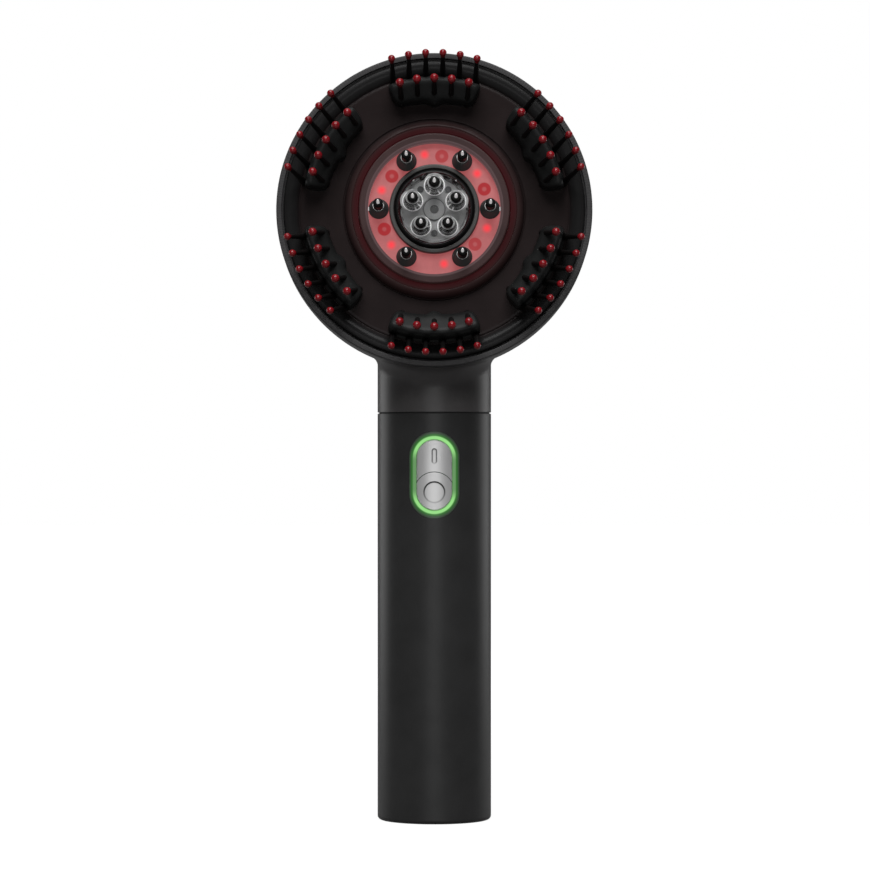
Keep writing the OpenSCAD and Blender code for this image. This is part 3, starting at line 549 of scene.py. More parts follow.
LOOKS = {
    # Handle, shell and buttons
    "handle": plastic("satin_black", (0.021, 0.021, 0.0212), 0.38, grain=9000, bump=0.04,
                      specular=0.25),
    "cap": plastic("foot_black", (0.015, 0.015, 0.015), 0.6, grain=5000, bump=0.2, specular=0.3),
    "seam": plastic("seam_black", (0.025, 0.025, 0.025), 0.6, specular=0.2),
    "shell": plastic("satin_charcoal", (0.058, 0.055, 0.0555), 0.38, grain=9000, bump=0.04,
                     specular=0.3),
    "rim": brushed_rim(),
    "plug": plastic("plug_rubber", (0.012, 0.012, 0.012), 0.5, grain=5000, bump=0.15),
    "silver": silver_with_mark_shade(),
    "bezel": lit_bezel(),
    "green": light_guide(),
    # Face, from the cover inwards
    "cover": spilled_cover(),
    "glow": soft_glow(),
    "lens": lens_with_painted_edge_light(),
    "pink": lit_diffuser(),
    "led": plastic("led_red_lit", (0.7, 0.1, 0.14), 0.3, glow=(0.95, 0.08, 0.1)),
    "infrared": plastic("led_dark_red", (0.09, 0.006, 0.008), 0.4, glow=(0.05, 0.003, 0.004)),
    "infrared_lens": plastic("led_dark_red_lens", (0.25, 0.05, 0.05), 0.3,
                             glow=(0.16, 0.035, 0.035)),
    "inner": plastic("inner_grey", (0.045, 0.044, 0.042), 0.4, specular=0.4),
    "seal": plastic("seal_rubber", (0.004, 0.0035, 0.0035), 0.5, specular=0.2),
    "clear": clear_window(),
    # Pale pieces, and on the clear nozzles' edges and ribs a painted highlight with a faint glow
    "frost_and_highlight": plastic("nozzle_frost_and_highlight", (0.72, 0.72, 0.72), 0.35, vary=0.05, glow=(0.1, 0.1, 0.1)),
    # Faint painted highlight on the nozzles' front rims and outer bows
    "haze_and_highlight": plastic("nozzle_haze_and_highlight", (0.4, 0.4, 0.4), 0.3, vary=0.3, blotch=900, alpha=0.6),
    "plate": plastic("plate_grey", (0.24, 0.24, 0.242), 0.5, blotch=260),
    "plate_dark": plastic("plate_groove_shade", (0.07, 0.07, 0.071), 0.6),
    "tank": blotched_tank(),
    "gasket": plastic("gasket_black", (0.028, 0.004, 0.006), 0.4, vary=1.0, blotch=900,
                      specular=0.12),
    # Pins, boots and comb pads
    "plunger": plastic("pin_black", (0.004, 0.004, 0.0042), 0.5, specular=0.1),
    # The tips' white colour and glow are a painted highlight on their metal
    "tip": plastic("pin_metal_painted_shine", (0.9, 0.9, 0.9), 0.3, vary=0.03, bump=0.02,
                   glow=(0.34, 0.34, 0.34)),
    "collar": plastic("pin_collar", (0.5, 0.5, 0.5), 0.3, vary=0.04, metallic=0.8, bump=0.02),
    "mouth_highlight": plastic("boot_mouth_highlight", (0.7, 0.67, 0.67), 0.35, vary=0.1, bump=0.03),
    # The boots' faint glow is painted light on their shaded sides
    "boot": plastic("boot_rubber", (0.024, 0.03, 0.03), 0.6, grain=4000, bump=0.1, specular=0.06,
                    glow=(0.009, 0.0085, 0.0085)),
    "pad": plastic("pad_rubber", (0.0095, 0.0098, 0.0098), 0.44, grain=5000, bump=0.06,
                   specular=0.12),
    "bristle": plastic("bristle_rubber", (0.0035, 0.0028, 0.0028), 0.5, grain=5000, specular=0.2),
    "ball": plastic("bristle_ball_red", (0.165, 0.0045, 0.008), 0.2, specular=0.3, blotch=500),
    # Inside
    "board": plastic("board_green", (0.01, 0.09, 0.03), 0.35, coat=0.3, blotch=900),
    # The board's pink tint and glow are painted light of the red lamps
    "white_board": plastic("board_white", (0.5, 0.35, 0.35), 0.5, glow=(0.22, 0.13, 0.13)),
    "chip": plastic("component_black", (0.02, 0.02, 0.022), 0.5, grain=6000, bump=0.2),
    "frame": plastic("frame_white", (0.55, 0.55, 0.52), 0.5, grain=5000, bump=0.1),
    "cell": plastic("cell_wrap", (0.03, 0.14, 0.4), 0.28, coat=0.3),
    "steel": plastic("plated_steel", (0.6, 0.6, 0.6), 0.28, metallic=1.0, vary=0.06),
    "brass": plastic("plated_brass", (0.7, 0.5, 0.2), 0.28, metallic=1.0, vary=0.06),
    "weight": plastic("weight_brass", (0.42, 0.36, 0.24), 0.35, metallic=1.0, vary=0.08),
    "clamp": plastic("clamp_grey", (0.09, 0.09, 0.09), 0.5),
    "wire": plastic("wire_red", (0.35, 0.01, 0.012), 0.45),
}

# Material of each node, also of those that a piece below replaces
worn = {
    "handle_tube": "handle", "end_cap": "cap", "neck_joiner": "seam", "chassis": "frame",
    "battery_cell": "cell", "battery_tabs": "steel", "control_board": "board",
    "board_parts": "chip", "tact_switches": "chip", "charging_board": "board",
    "charging_socket": "steel", "button_bezel": "bezel", "light_ring": "green",
    "on_button": "silver", "off_button": "silver", "lead_wires": "wire", "head_shell": "shell",
    "rim_ring": "rim", "face_cover": "cover", "glow_ring": "glow", "lens_ring": "lens",
    "diffuser_ring": "pink", "led_board": "white_board", "red_leds": "led",
    "infrared_leds": "infrared", "head_frame": "frame", "frame_screws": "steel",
    "contact_ring": "brass", "inner_ring": "inner", "tank_seal": "seal", "tank_window": "clear",
    "tank_body": "tank", "chamber_plate": "plate", "chamber_screws": "chip",
    "valve_springs": "steel", "electrode_springs": "steel", "pin_boots": "boot",
    "bristle_tips": "ball", "motor": "steel", "motor_clamp": "clamp", "motor_shaft": "steel",
    "eccentric_weight": "weight", "fill_plug": "plug",
}
for i in range(len(PAD_ANGLES)):
    worn["comb_pad_%d" % (i + 1)] = "pad"
for i in range(len(ELECTRODE_ANGLES)):
    worn["electrode_pin_%d" % (i + 1)] = "plunger"
for i in range(len(DISPENSER_ANGLES)):
    worn["dispensing_pin_%d" % (i + 1)] = "plunger"
for name, key in worn.items():
    slots = nodes[name].data.materials
    slots.clear()
    slots.append(LOOKS[key])


# ---------------------------------------------------------------- head shell, rim and cover

def dome(r, depth, start, end, n):
    """Profile of the domed back between two angles, from the side wall at 0 to the axis at 90."""
    points = []
    for i in range(n + 1):
        t = start + (end - start) * i / n
        points.append((r * cos_d(t) ** (2 / ROUND_POWER),
                       -SIDE_DEPTH - depth * sin_d(t) ** (2 / DEEP_POWER)))
    return points


def dome_angle(r, at_r):
    """Angle at which the dome's profile has that radius."""
    return math.degrees(math.acos((at_r / r) ** (ROUND_POWER / 2)))


def dome_z(r, depth, at_r):
    return dome(r, depth, dome_angle(r, at_r), 90, 1)[0][1]


def outside(point):
    """Positive outside the head's form, and negative inside."""
    p = WORLD_TO_HEAD @ point
    out = (math.hypot(p.x, p.y) / HEAD_R) ** ROUND_POWER
    if p.z < -SIDE_DEPTH:
        out += ((-SIDE_DEPTH - p.z) / DOME_DEPTH) ** DEEP_POWER
    return out - 1


def last_true(low, high, holds):
    """Halves a range round the place where a test stops holding, and gives its low end."""
    for _ in range(34):
        middle = (low + high) / 2
        if holds(middle):
            low = middle
        else:
            high = middle
    return low


def nearest(line, x, y):
    """Distance from a place to a line of points, and the nearest place on it."""
    best = (math.inf, None)
    for (ax, ay), (bx, by) in zip(line, line[1:]):
        span = (bx - ax) ** 2 + (by - ay) ** 2
        f = max(0, min(1, ((x - ax) * (bx - ax) + (y - ay) * (by - ay)) / span))
        spot = (ax + f * (bx - ax), ay + f * (by - ay))
        best = min(best, (math.hypot(x - spot[0], y - spot[1]), spot))
    return best


def neck_section(angle):
    """Outline of the neck's wall at an angle about the handle: up the outside, round the fillet to
    where it meets the head, and back down the bore."""
    start = 4
    farthest = 150
    slope_steps = 160
    slope_step = 0.55

    def place(reach, height):
        return Vector((reach * cos_d(angle), reach * sin_d(angle), height))

    def ray(slope, far):
        return (start + far * cos_d(slope), HEAD_Z + far * sin_d(slope))

    # The head's surface in this upright plane, found along rays from a place inside the head
    surface = []
    for k in range(slope_steps + 1):
        slope = -90 + slope_step * k
        edge = last_true(0, farthest, lambda far: outside(place(*ray(slope, far))) <= 0)
        surface.append(ray(slope, edge))

    # The fillet's middle goes up beside the neck until the fillet touches that surface
    reach = HANDLE_R + NECK_FILLET
    low = last_true(NECK_FOOT, 178, lambda height: outside(place(reach, height)) > 0
                    and nearest(surface, reach, height)[0] > NECK_FILLET)
    contact = nearest(surface, reach, low)[1]
    end = math.degrees(math.atan2(contact[1] - low, contact[0] - reach))
    sunk = 0.8
    deep = (contact[0] + sunk * cos_d(end), contact[1] + sunk * sin_d(end))
    bore = HANDLE_R - SHELL_WALL
    outline = [(HANDLE_R - 0.1, NECK_FOOT), (HANDLE_R, NECK_FOOT + 0.1)]
    outline += [(HANDLE_R, NECK_FOOT + (low - NECK_FOOT) * f) for f in (0.25, 0.5, 0.75)]
    outline += arc(reach, low, NECK_FILLET, 180, end, 14)
    outline += [deep, (bore, deep[1]), (bore, NECK_FOOT)]
    points = [WORLD_TO_HEAD @ place(*spot) for spot in outline]
    for p in points:
        p.z = min(p.z, SHELL_FRONT)
    return points


def bored(bm, radius, low, high):
    """Takes an upright bore, in the handle's place, out of a mesh drawn in the head's frame."""
    cutter = bmesh.new()
    lathe(cutter, [(0, low), (radius, low), (radius, high), (0, high)], 64, WORLD_TO_HEAD)
    made = []
    for part in (bm, cutter):
        bmesh.ops.recalc_face_normals(part, faces=part.faces[:])
        made.append(link(bpy.data.objects.new("bore", taken(part, "bore"))))
    step = made[0].modifiers.new("bore", "BOOLEAN")
    step.operation = "DIFFERENCE"
    step.solver = "EXACT"
    step.object = made[1]
    view = bpy.context.evaluated_depsgraph_get()
    cut = bpy.data.meshes.new_from_object(made[0].evaluated_get(view))
    result = bmesh.new()
    result.from_mesh(cut)
    bpy.data.meshes.remove(cut)
    for thing in made:
        mesh = thing.data
        bpy.data.objects.remove(thing)
        bpy.data.meshes.remove(mesh)
    return result


def add_post(bm, angle, inner_r, inner_depth):
    """Adds a hollow post whose foot is sunk in the dome's wall."""
    post = bmesh.new()
    back, front = -40, -8
    lathe(post, [(0.95, back), (2.6, back), (2.6, front), (0.95, front)], 32,
          around(angle, POST_CIRCLE_R))
    for v in post.verts:
        if v.co.z < back + 1:
            v.co.z = dome_z(inner_r, inner_depth, math.hypot(v.co.x, v.co.y)) - 0.8
    mesh = taken(post, "post")
    bm.from_mesh(mesh)
    bpy.data.meshes.remove(mesh)


def shell():
    """Neck, side wall and domed back in one, with the spout and the posts."""
    inner_r = HEAD_R - SHELL_WALL
    inner_depth = DOME_DEPTH - SHELL_WALL
    bm = bmesh.new()
    lathe(bm, [(RIM_SEAT_R, SHELL_FRONT), (HEAD_R - 0.08, SHELL_FRONT),
               (HEAD_R, SHELL_FRONT - 0.08), (HEAD_R, -6)]
          + dome(HEAD_R, DOME_DEPTH, 0, dome_angle(HEAD_R, PLUG_R + 0.15), 44)
          + [(PLUG_R + 0.03, -41.86), (PLUG_R, -41.75), (PLUG_R, PLUG_SEAT), (SPOUT_R, PLUG_SEAT),
             (SPOUT_R, BOSS_FRONT), (BOSS_R, BOSS_FRONT)]
          + dome(inner_r, inner_depth, dome_angle(inner_r, BOSS_R), 0, 30)
          + [(inner_r, -4.2), (RIM_SEAT_R, -4.2)], 200)
    bore_foot, bore_top = 110, 159.7
    bm = bored(bm, HANDLE_R - SHELL_WALL, bore_foot, bore_top)
    sections = 120
    sweep(bm, [neck_section(360 * k / sections) for k in range(sections)], closed=True)
    for angle in POST_ANGLES:
        add_post(bm, angle, inner_r, inner_depth)
    finish_piece("shell", bm, [LOOKS["shell"]], "body", ("head_shell",), sharp=35)


def rim():
    """Ring round the face, rounded in front, with a lip behind the cover's edge."""
    bm = bmesh.new()
    lathe(bm, [(RIM_IN_R, -6), (43.6, -6), (43.6, -3), (HEAD_R - 0.08, -3), (HEAD_R, -2.92)]
          + arc(HEAD_R - 0.35, -0.35, 0.35, 0, 90, 8) + arc(44.4, -0.2, 0.2, 90, 180, 6)
          + [(44.2, -1.5), (43.75, -1.6), (RIM_SEAT_R, -2.4), (RIM_IN_R, -2.9)], 200)
    finish_piece("rim", bm, [LOOKS["rim"]], "body", ("rim_ring",), sharp=35)


def cover():
    """Smoked cover: a raised hub, a flat dish, a thin groove and a rolled shoulder."""
    dish = -1.0
    hub_slope = [(24.3, 1.97), (24.7, 1.74), (25.1, 1.36), (25.45, 0.86), (25.74, 0.24),
                 (25.95, -0.5), (26.08, -1.2)]
    hub_foot = [(26.16, -1.35), (26.3, -1.35), (26.5, -1.1), (26.62, -1.01)]
    flat = [(r, dish) for r in (26.8, 29, 32, 35, 38, 38.8)]
    groove = [(38.95, -1.06), (39.05, -1.22), (39.22, -1.26), (39.34, -1.2)]
    bm = bmesh.new()
    lathe(bm, [(HUB_R, -3.6), (HUB_R, 1.85)] + arc(HUB_R + 0.15, 1.85, 0.15, 180, 110, 3)
          + hub_slope + hub_foot + flat + groove
          + arc(42.0, -3.3, 3.4, 143, 76, 16) + arc(42.8, -0.75, 0.76, 72, 0, 10)
          + [(43.56, -2.3), (42.3, -2.7), (39.5, -2.6), (27, -2.7), (25.6, -3.6)], 200)
    finish_piece("cover", bm, [LOOKS["cover"]], "body", ("face_cover",), sharp=50)


def glow_band():
    """Dark red ring between the hub and the lens, rounded in front."""
    front = 1.6
    bm = bmesh.new()
    lathe(bm, [(22.05, -2.9), (GLOW_OUT_R, -2.9), (GLOW_OUT_R, -1.9)]
          + arc(23.7, front, 0.2, 0, 90, 6) + arc(22.25, front, 0.2, 90, 180, 6), 160)
    finish_piece("glow_band", bm, [LOOKS["glow"]], "body", ("glow_ring",), sharp=50)


def tank_collar():
    """Grey ring round the tank's window, stepped behind and rounded in front."""
    bm = bmesh.new()
    lathe(bm, [(COLLAR_IN_R, -2.6), (12.85, -2.6), (12.85, 0), (13.1, 0), (13.1, 0.4)]
          + arc(12.6, 1.15, 0.35, 10, 90, 8) + arc(COLLAR_IN_R + 0.3, 1.2, 0.3, 90, 180, 6), 160)
    finish_piece("tank_collar", bm, [LOOKS["inner"]], "body", ("inner_ring",),
                 sharp=50)


for make in (shell, rim, cover, glow_band, tank_collar):
    make()


# ---------------------------------------------------------------- pins, boots and springs

def bright_tip(bm, at, low, high, r, material):
    """Adds a metal tip that narrows from a round shoulder to a small round end."""
    tall = high - low
    lathe(bm, [(0, low), (r, low), (r * 1.02, low + 0.25 * tall), (r * 0.92, low + 0.5 * tall),
               (r * 0.72, low + 0.75 * tall), (r * 0.5, low + 0.92 * tall),
               (r * 0.28, low + 0.985 * tall), (0, high)], 20, at, material)


def electrode(i):
    """Black plunger with a stop flange and a bright tip, on a plain stem."""
    plunger, collar, tip = 0, 1, 2
    at = around(ELECTRODE_ANGLES[i], ELECTRODE_R)
    bm = bmesh.new()
    lathe(bm, [(0, -3.4), (1.9, -3.4), (1.9, -2.85), (1.84, -2.8), (1.4, -2.8)]
          + arc(0.65, 12.1, 0.75, 0, 70, 8) + [(0.5, 12.85), (0, 12.85)], 32, at, plunger)
    bright_tip(bm, at, 12.6, ELECTRODE_TOP, 0.42, tip)
    lathe(bm, [(0, -11.5), (0.55, -11.5), (0.7, -11.35), (0.7, -3.3), (0, -3.3)], 20, at, collar)
    name = "electrode_pin_%d" % (i + 1)
    finish_piece("electrode_%d" % (i + 1), bm, [LOOKS["plunger"], LOOKS["collar"], LOOKS["tip"]],
                 name, (name,))


def dispenser(i):
    """Black plunger with a fine bright tip, on a stem with a valve flange."""
    plunger, tip, collar = 0, 1, 2
    at = around(DISPENSER_ANGLES[i], DISPENSER_R)
    bm = bmesh.new()
    lathe(bm, [(0, 1.1), (1.4, 1.1), (1.52, 1.22)] + arc(0.82, 10.15, 0.7, 0, 75, 8)
          + [(0.6, 10.85), (0, 10.85)], 32, at, plunger)
    bright_tip(bm, at, 10.6, DISPENSER_TOP, 0.46, tip)
    lathe(bm, [(0, -11), (0.6, -11), (0.7, -10.9), (0.7, -2.5), (1.3, -2.5), (1.3, -1.9),
               (0.7, -1.9), (0.7, 1.2), (0, 1.2)], 20, at, collar)
    name = "dispensing_pin_%d" % (i + 1)
    finish_piece("dispenser_%d" % (i + 1), bm, [LOOKS["plunger"], LOOKS["tip"], LOOKS["collar"]],
                 name, (name,))


def boots():
    """Rubber cone round each electrode, with a pale ring round its mouth that is a painted
    highlight of its rim.
    """
    boot, mouth_highlight = 0, 1
    bm = bmesh.new()
    for angle in ELECTRODE_ANGLES:
        at = around(angle, ELECTRODE_R)
        lathe(bm, [(1.48, -1.6), (2.35, -1.6), (2.4, 0.02), (2.9, 0.02)]
              + arc(2.78, 0.32, 0.17, -30, 60, 4)
              + [(2.62, 1.1), (2.42, 2.3), (2.2, 3.9), (2.02, 5.4), (1.92, 6.2)]
              + arc(1.7, 6.62, 0.2, 0, 90, 5) + [(1.48, 6.82)], 56, at, boot)
        eased_ring(bm, at, 1.45, 1.61, 6.7, 6.92, mouth_highlight, 48, 0.04)
    finish_piece("boots", bm, [LOOKS["boot"], LOOKS["mouth_highlight"]], "body",
                 ("pin_boots",))


def coil_points(at, coil_r, wire_r, low, high, turns):
    """Middle line of a compression spring with closed ends."""
    steps = turns * 20
    points = []
    for k in range(steps + 1):
        f = k / steps
        a = 2 * math.pi * turns * f
        rise = 3 * f * f - 2 * f * f * f
        points.append(at @ Vector((coil_r * math.cos(a), coil_r * math.sin(a),
                                   low + wire_r + (high - low - 2 * wire_r) * rise)))
    return points


def return_spring(name, at, coil_r, low, high, turns, replaced):
    """Coil of steel wire, left where it is drawn and tied to no body."""
    wire_r = 0.12
    bm = bmesh.new()
    tube(bm, coil_points(at, coil_r, wire_r, low, high, turns), wire_r, 8)
    piece = finish_piece(name, bm, [LOOKS["steel"]], None, replaced)
    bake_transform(piece)


for i in range(len(ELECTRODE_ANGLES)):
    electrode(i)
for i in range(len(DISPENSER_ANGLES)):
    dispenser(i)
boots()

# The first coil of each kind stands for the node that holds all of them
for i, angle in enumerate(DISPENSER_ANGLES):
    return_spring("valve_coil_%d" % (i + 1), around(angle, DISPENSER_R), coil_r=1.1, low=-8,
                  high=-2.52, turns=7,
                  replaced=() if i else ("valve_springs",))
for i, angle in enumerate(ELECTRODE_ANGLES):
    return_spring("electrode_coil_%d" % (i + 1), around(angle, ELECTRODE_R), coil_r=1.25, low=-5.7,
                  high=-3.42, turns=3,
                  replaced=() if i else ("electrode_springs",))


# ---------------------------------------------------------------- comb pads

# Profile of a pad's block from its foot behind, over the crest, to its round inner edge: (radius,
# height, half angle, how far the bump and the waist of the inner edge move this point)
PAD_PROFILE = [
    (38.75, PAD_FOOT, 18.9, 0), (38.7, -0.25, 18.9, 0), (38.1, 0.1, 20.2, 0),
    (37.95, 2.0, 20.4, 0), (37.95, 4.2, 20.4, 0), (37.85, 5.2, 20.5, 0), (37.6, 6.0, 20.6, 0),
    (37.2, 6.6, 20.8, 0), (36.7, 6.9, 20.9, 0), (36.0, 6.85, 21.0, 0), (35.2, 6.45, 21.0, 0),
    (34.2, 5.85, 20.9, 0), (33.2, 5.3, 20.6, 0.1), (32.4, 4.8, 20.2, 0.3),
    (31.75, 4.25, 19.7, 0.6), (31.3, 3.6, 19.1, 0.9), (31.05, 2.8, 18.6, 1),
    (30.95, 1.6, 18.3, 1), (30.9, 0.3, 18.2, 1), (30.9, PAD_FOOT, 18.2, 1)]


def pad_places():
    """Places along a pad from -1 to 1, close together at its rounded ends."""
    rounding = [(k / 5) ** 2 * PAD_END_ROUND / PAD_HALF_LENGTH for k in range(6)]
    straight = [rounding[-1] + (1 - rounding[-1]) * k / PAD_STEPS for k in range(1, PAD_STEPS + 1)]
    half = [f - 1 for f in [0] + rounding + straight]
    return half + [-p for p in reversed(half[:-1])]


def pad_block(bm, at):
    """Adds a soft-edged block. Its top comes down to the foot in a round edge at both ends."""
    waist, bump_size = 0.55, 1.05
    places = pad_places()
    sections = []
    for index, place in enumerate(places):
        from_end = min(PAD_END_ROUND, (1 - abs(place)) * PAD_HALF_LENGTH)
        drop = PAD_END_ROUND - math.sqrt(PAD_END_ROUND ** 2 - (PAD_END_ROUND - from_end) ** 2)
        at_foot = index in (0, len(places) - 1)
        section = []
        for r, z, half_angle, share in PAD_PROFILE:
            angle = place * half_angle
            bump = math.cos(math.pi / 2 * min(1, abs(angle) / BUMP_ANGLE)) ** 1.3
            r += share * (waist * place ** 2 - bump_size * bump * (1 if z < 3 else 0.5))
            z = PAD_FOOT if at_foot else max(PAD_FOOT, z - drop * (1 if z > 0 else 0))
            section.append(at @ Vector((*polar(r, angle), z)))
        sections.append(section)
    sweep(bm, sections)


def bristles():
    """Root and tip of each bristle of a pad at angle 0, and its ball's radius."""
    for k in range(5):
        tip = Vector((*polar(INNER_ROW_R, 8 * k - 16), BRISTLE_TOP))
        yield Vector((tip.x - 3.7, 0.96 * tip.y, 0.9)), tip, 1.2
    for k in range(6):
        tip = Vector((*polar(OUTER_ROW_R, 6.6 * k - 16.5), BRISTLE_TOP))
        yield Vector((tip.x - 5, 0.97 * tip.y, -0.6)), tip, 1.05


def along_bristle(root, tip):
    """Place at the root with Z along the bristle."""
    return Matrix.Translation(root) @ (tip - root).to_track_quat("Z", "Y").to_matrix().to_4x4()


def comb_pad(i):
    """Rubber block with eleven tapered bristles, and two pegs that hold it in the cover."""
    rubber, bristle = 0, 1
    turn = around(PAD_ANGLES[i])
    bm = bmesh.new()
    pad_block(bm, turn)
    for root, tip, _ in bristles():
        tall = (tip - root).length
        lathe(bm, [(0, 0), (1.2, 0), (1.12, 0.06 * tall), (0.92, 0.16 * tall), (0.8, 0.3 * tall),
                   (0.72, 0.55 * tall), (0.64, 0.8 * tall), (0.6, tall - 0.3), (0, tall - 0.3)],
              20, turn @ along_bristle(root, tip), bristle)
    for side in (-11, 11):
        lathe(bm, [(0, -3.2), (1.1, -3.2), (1.25, -3.05), (1.25, -0.5), (0, -0.5)], 24,
              turn @ around(side, 34), rubber)
    finish_piece("comb_%d" % (i + 1), bm, [LOOKS["pad"], LOOKS["bristle"]], "body",
                 ("comb_pad_%d" % (i + 1),))


def bristle_balls():
    """Ball on each bristle, with a short neck round the bristle's end."""
    bm = bmesh.new()
    for angle in PAD_ANGLES:
        for root, tip, ball in bristles():
            tall = (tip - root).length
            lathe(bm, [(0, tall - 1.75 * ball), (0.66, tall - 1.75 * ball),
                       (0.72, tall - 1.6 * ball)]
                  + arc(0, tall, ball, -48, 90, 14), 24, around(angle) @ along_bristle(root, tip))
    finish_piece("bristle_balls", bm, [LOOKS["ball"]], "body", ("bristle_tips",))


for i in range(len(PAD_ANGLES)):
    comb_pad(i)
bristle_balls()


# ---------------------------------------------------------------- lamps and window

LAMP_FOOT = -1.6
WINDOW_FRONT = 2.3
PLATE_FRONT = -0.6

# Angles of the ribs round each dispensing pin, seen from the front
RIBS = [(-125, -55), (-69, -33, 0), (2,), (178,), (-111, -147, 180)]


def red_lamps():
    bm = bmesh.new()
    for angle in RED_LAMP_ANGLES:
        lathe(bm, [(0, LAMP_FOOT), (1.1, LAMP_FOOT), (1.1, -1.35)]
              + arc(0.75, -1.35, 0.33, 0, 90, 5) + [(0, -1.0)], 32, around(angle, RED_LAMP_R))
    finish_piece("red_lamps", bm, [LOOKS["led"]], "body", ("red_leds",))


def infrared_lamps():
    """Dark ring with a low round lens in it."""
    ring, lens = 0, 1
    bm = bmesh.new()
    for angle in INFRARED_ANGLES:
        at = around(angle, INFRARED_R)
        eased_ring(bm, at, 0.95, 1.9, LAMP_FOOT, -1.02, ring, 48, 0.12)
        lathe(bm, [(0, LAMP_FOOT), (0.85, LAMP_FOOT), (0.85, -1.4)]
              + arc(0, -1.9, 0.98, 30, 90, 6), 32, at, lens)
    finish_piece("infrared_lamps", bm, [LOOKS["infrared"], LOOKS["infrared_lens"]], "body",
                 ("infrared_leds",))


def crescent(bm, at, r_in, bow_r, shift, low, high, material):
    """Adds a crescent that lies against a circle and bulges along x."""
    sections = []
    for k in range(25):
        angle = -84 + 7 * k
        reach = shift * cos_d(angle) + math.sqrt(bow_r ** 2 - (shift * sin_d(angle)) ** 2)
        sections.append([at @ Vector((*polar(r, angle), z))
                         for r, z in ((r_in, low), (reach, low), (reach, high - 0.06),
                                      (r_in, high))])
    sweep(bm, sections, material)


def nozzle_edges():
    """Clear nozzles' edges and ribs, pale as a painted highlight, painted highlight bows, and dark
    rings on the plate behind.
    """
    frost_and_highlight, haze_and_highlight, dark = 0, 1, 2
    bm = bmesh.new()
    for outward, ribs in zip(DISPENSER_ANGLES, RIBS):
        at = at_place(*polar(DISPENSER_R, outward))
        # Feet of the nozzle and of the guide tube inside it, then the front ends of both
        eased_ring(bm, at, 2.8, 3.02, 2.34, 2.58, frost_and_highlight)
        eased_ring(bm, at, 1.62, 1.84, WINDOW_FRONT, 2.56, frost_and_highlight)
        eased_ring(bm, at, 1.62, 1.8, 8.9, 9.06, haze_and_highlight)
        eased_ring(bm, at, 1.8, 2.04, 9.7, 9.84, haze_and_highlight)
        for angle in ribs:
            bar(bm, at @ around(angle) @ at_place(1.8, 0, WINDOW_FRONT + 0.02), 0.95, 0.38, 0.22,
                frost_and_highlight)
        # Bow of painted highlight at the nozzle's outer side
        crescent(bm, at @ around(outward), 3.0, 3.12, 0.55, WINDOW_FRONT, 2.55, haze_and_highlight)
        eased_ring(bm, at, 1.6, 2.62, -0.56, -0.3, dark)
    # Two light spots near the window's upper edge, and a pale tick at each side of the diffuser
    for x in (-6.0, 6.28):
        lathe(bm, [(0, 2.35), (0.26, 2.35)] + arc(0, 2.35, 0.26, 30, 90, 3), 12, at_place(x, 8.0),
              frost_and_highlight)
    for side in (0, 180):
        bar(bm, around(side, 18.85), 0.3, 1.1, 0.7, frost_and_highlight)
    eased_ring(bm, CENTRE, 3.32, 3.5, PLATE_FRONT, -0.46, haze_and_highlight)
    finish_piece("nozzle_edges", bm, [LOOKS["frost_and_highlight"], LOOKS["haze_and_highlight"], LOOKS["seal"]], "body")


def window_gasket():
    bm = bmesh.new()
    eased_ring(bm, CENTRE, 10.15, 10.44, 2.36, 2.5, segments=160)
    finish_piece("window_gasket", bm, [LOOKS["gasket"]], "body")


def plate_marks():
    """Dark ring, the painted shade of a groove, and a dark spot in the middle of the plate."""
    bm = bmesh.new()
    eased_ring(bm, CENTRE, 2.96, 3.24, PLATE_FRONT, -0.22)
    lathe(bm, [(0, -0.5), (1.25, -0.5), (1.25, -0.36), (1.2, -0.34), (0, -0.34)], 40)
    finish_piece("plate_marks", bm, [LOOKS["plate_dark"]], "body")


for make in (red_lamps, infrared_lamps, nozzle_edges, window_gasket, plate_marks):
    make()


# ---------------------------------------------------------------- camera, light, floor

def add_camera():
    """Camera in front, level and far off, as the photograph has it."""
    data = bpy.data.cameras.new("camera")
    data.sensor_width = 36
    data.lens = 144.8
    data.shift_y = 0.0172
    data.clip_start = 0.05
    camera = link(bpy.data.objects.new("camera", data))
    camera.location = (0.0002, -1.034, 0.10898)
    camera.rotation_euler = (math.pi / 2, 0, 0)
    bpy.context.scene.camera = camera


def panel(name, place, target, width, height, power):
    """Adds a soft box, sizes and places in metres, that looks at its target."""
    data = bpy.data.lights.new(name, "AREA")
    data.shape = "RECTANGLE"
    data.size = width
    data.size_y = height
    data.energy = power
    light = link(bpy.data.objects.new(name, data))
    light.location = place
    light.rotation_euler = (Vector(target) - light.location).to_track_quat("-Z", "Y").to_euler()


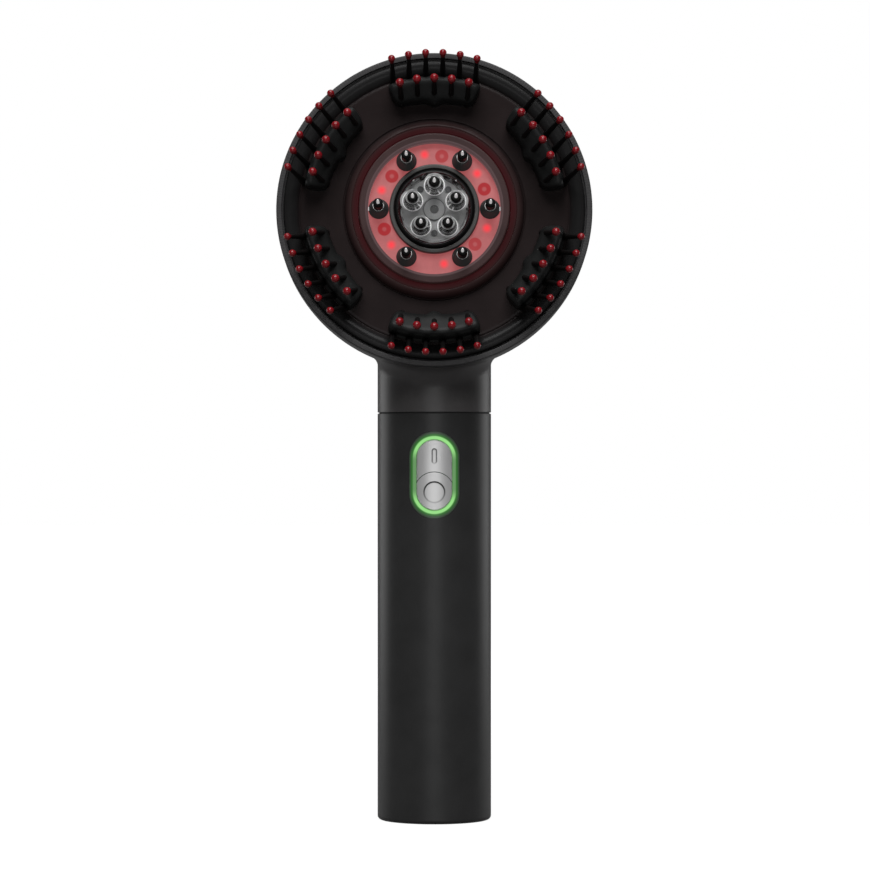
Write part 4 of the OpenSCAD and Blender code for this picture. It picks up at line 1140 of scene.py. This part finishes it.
def white_floor():
    """Pale floor that fades to white away from the object and keeps its soft shadow. It shines for
    the camera, and only dimly in reflections."""
    in_mirrors = 0.15
    near_r, far_r = 150, 600
    near_level = 0.92
    m = bpy.data.materials.new("floor_white")
    m.use_nodes = True
    tree = m.node_tree
    tree.nodes.clear()
    out = tree.nodes.new("ShaderNodeOutputMaterial")
    add = tree.nodes.new("ShaderNodeAddShader")
    surface = tree.nodes.new("ShaderNodeBsdfDiffuse")
    surface.inputs["Color"].default_value = (0.12, 0.12, 0.12, 1)
    shine = tree.nodes.new("ShaderNodeEmission")
    path = tree.nodes.new("ShaderNodeLightPath")
    mirrored = calc(tree, "MAXIMUM", path.outputs["Is Glossy Ray"],
                    path.outputs["Is Transmission Ray"])
    seen = calc(tree, "MAXIMUM", path.outputs["Is Camera Ray"],
                calc(tree, "MULTIPLY", mirrored, in_mirrors))
    x, y, _ = place_in(tree, False)
    level = fade(tree, length(tree, x, y), near_r, far_r, near_level, 1.0)
    tree.links.new(calc(tree, "MULTIPLY", seen, level), shine.inputs["Strength"])
    tree.links.new(surface.outputs[0], add.inputs[0])
    tree.links.new(shine.outputs[0], add.inputs[1])
    tree.links.new(add.outputs[0], out.inputs["Surface"])
    return m


def add_floor():
    bm = bmesh.new()
    bmesh.ops.create_grid(bm, x_segments=1, y_segments=1, size=4)
    mesh = taken(bm, "floor")
    mesh.materials.append(white_floor())
    floor = link(bpy.data.objects.new("floor", mesh))


def add_world():
    """White to the camera, and a faint even light on the object."""
    world = bpy.data.worlds.new("studio")
    bpy.context.scene.world = world
    world.use_nodes = True
    tree = world.node_tree
    tree.nodes.clear()
    out = tree.nodes.new("ShaderNodeOutputWorld")
    mix = tree.nodes.new("ShaderNodeMixShader")
    path = tree.nodes.new("ShaderNodeLightPath")
    tree.links.new(path.outputs["Is Camera Ray"], mix.inputs["Fac"])
    for socket, strength in ((mix.inputs[1], 0.06), (mix.inputs[2], 1.0)):
        plain = tree.nodes.new("ShaderNodeBackground")
        plain.inputs["Color"].default_value = (1, 1, 1, 1)
        plain.inputs["Strength"].default_value = strength
        tree.links.new(plain.outputs[0], socket)
    tree.links.new(mix.outputs[0], out.inputs["Surface"])


add_camera()
panel("left_strip", (-0.72, 0.5, 0.2), (0, 0, 0.13), width=0.5, height=0.42, power=1.2)
panel("right_strip", (0.72, 0.5, 0.2), (0, 0, 0.13), width=0.5, height=0.42, power=1.1)
panel("front_top", (0, -0.95, 1.25), (0, 0, 0.16), width=1.1, height=0.7, power=24)
panel("front_low", (0, -1.35, 0.12), (0, 0, 0.12), width=0.6, height=0.35, power=2.3)
panel("overhead", (0, 0.05, 1.2), (0, 0, 0.18), width=0.9, height=0.6, power=6)
add_floor()
add_world()
bpy.context.scene.view_settings.view_transform = "Standard"
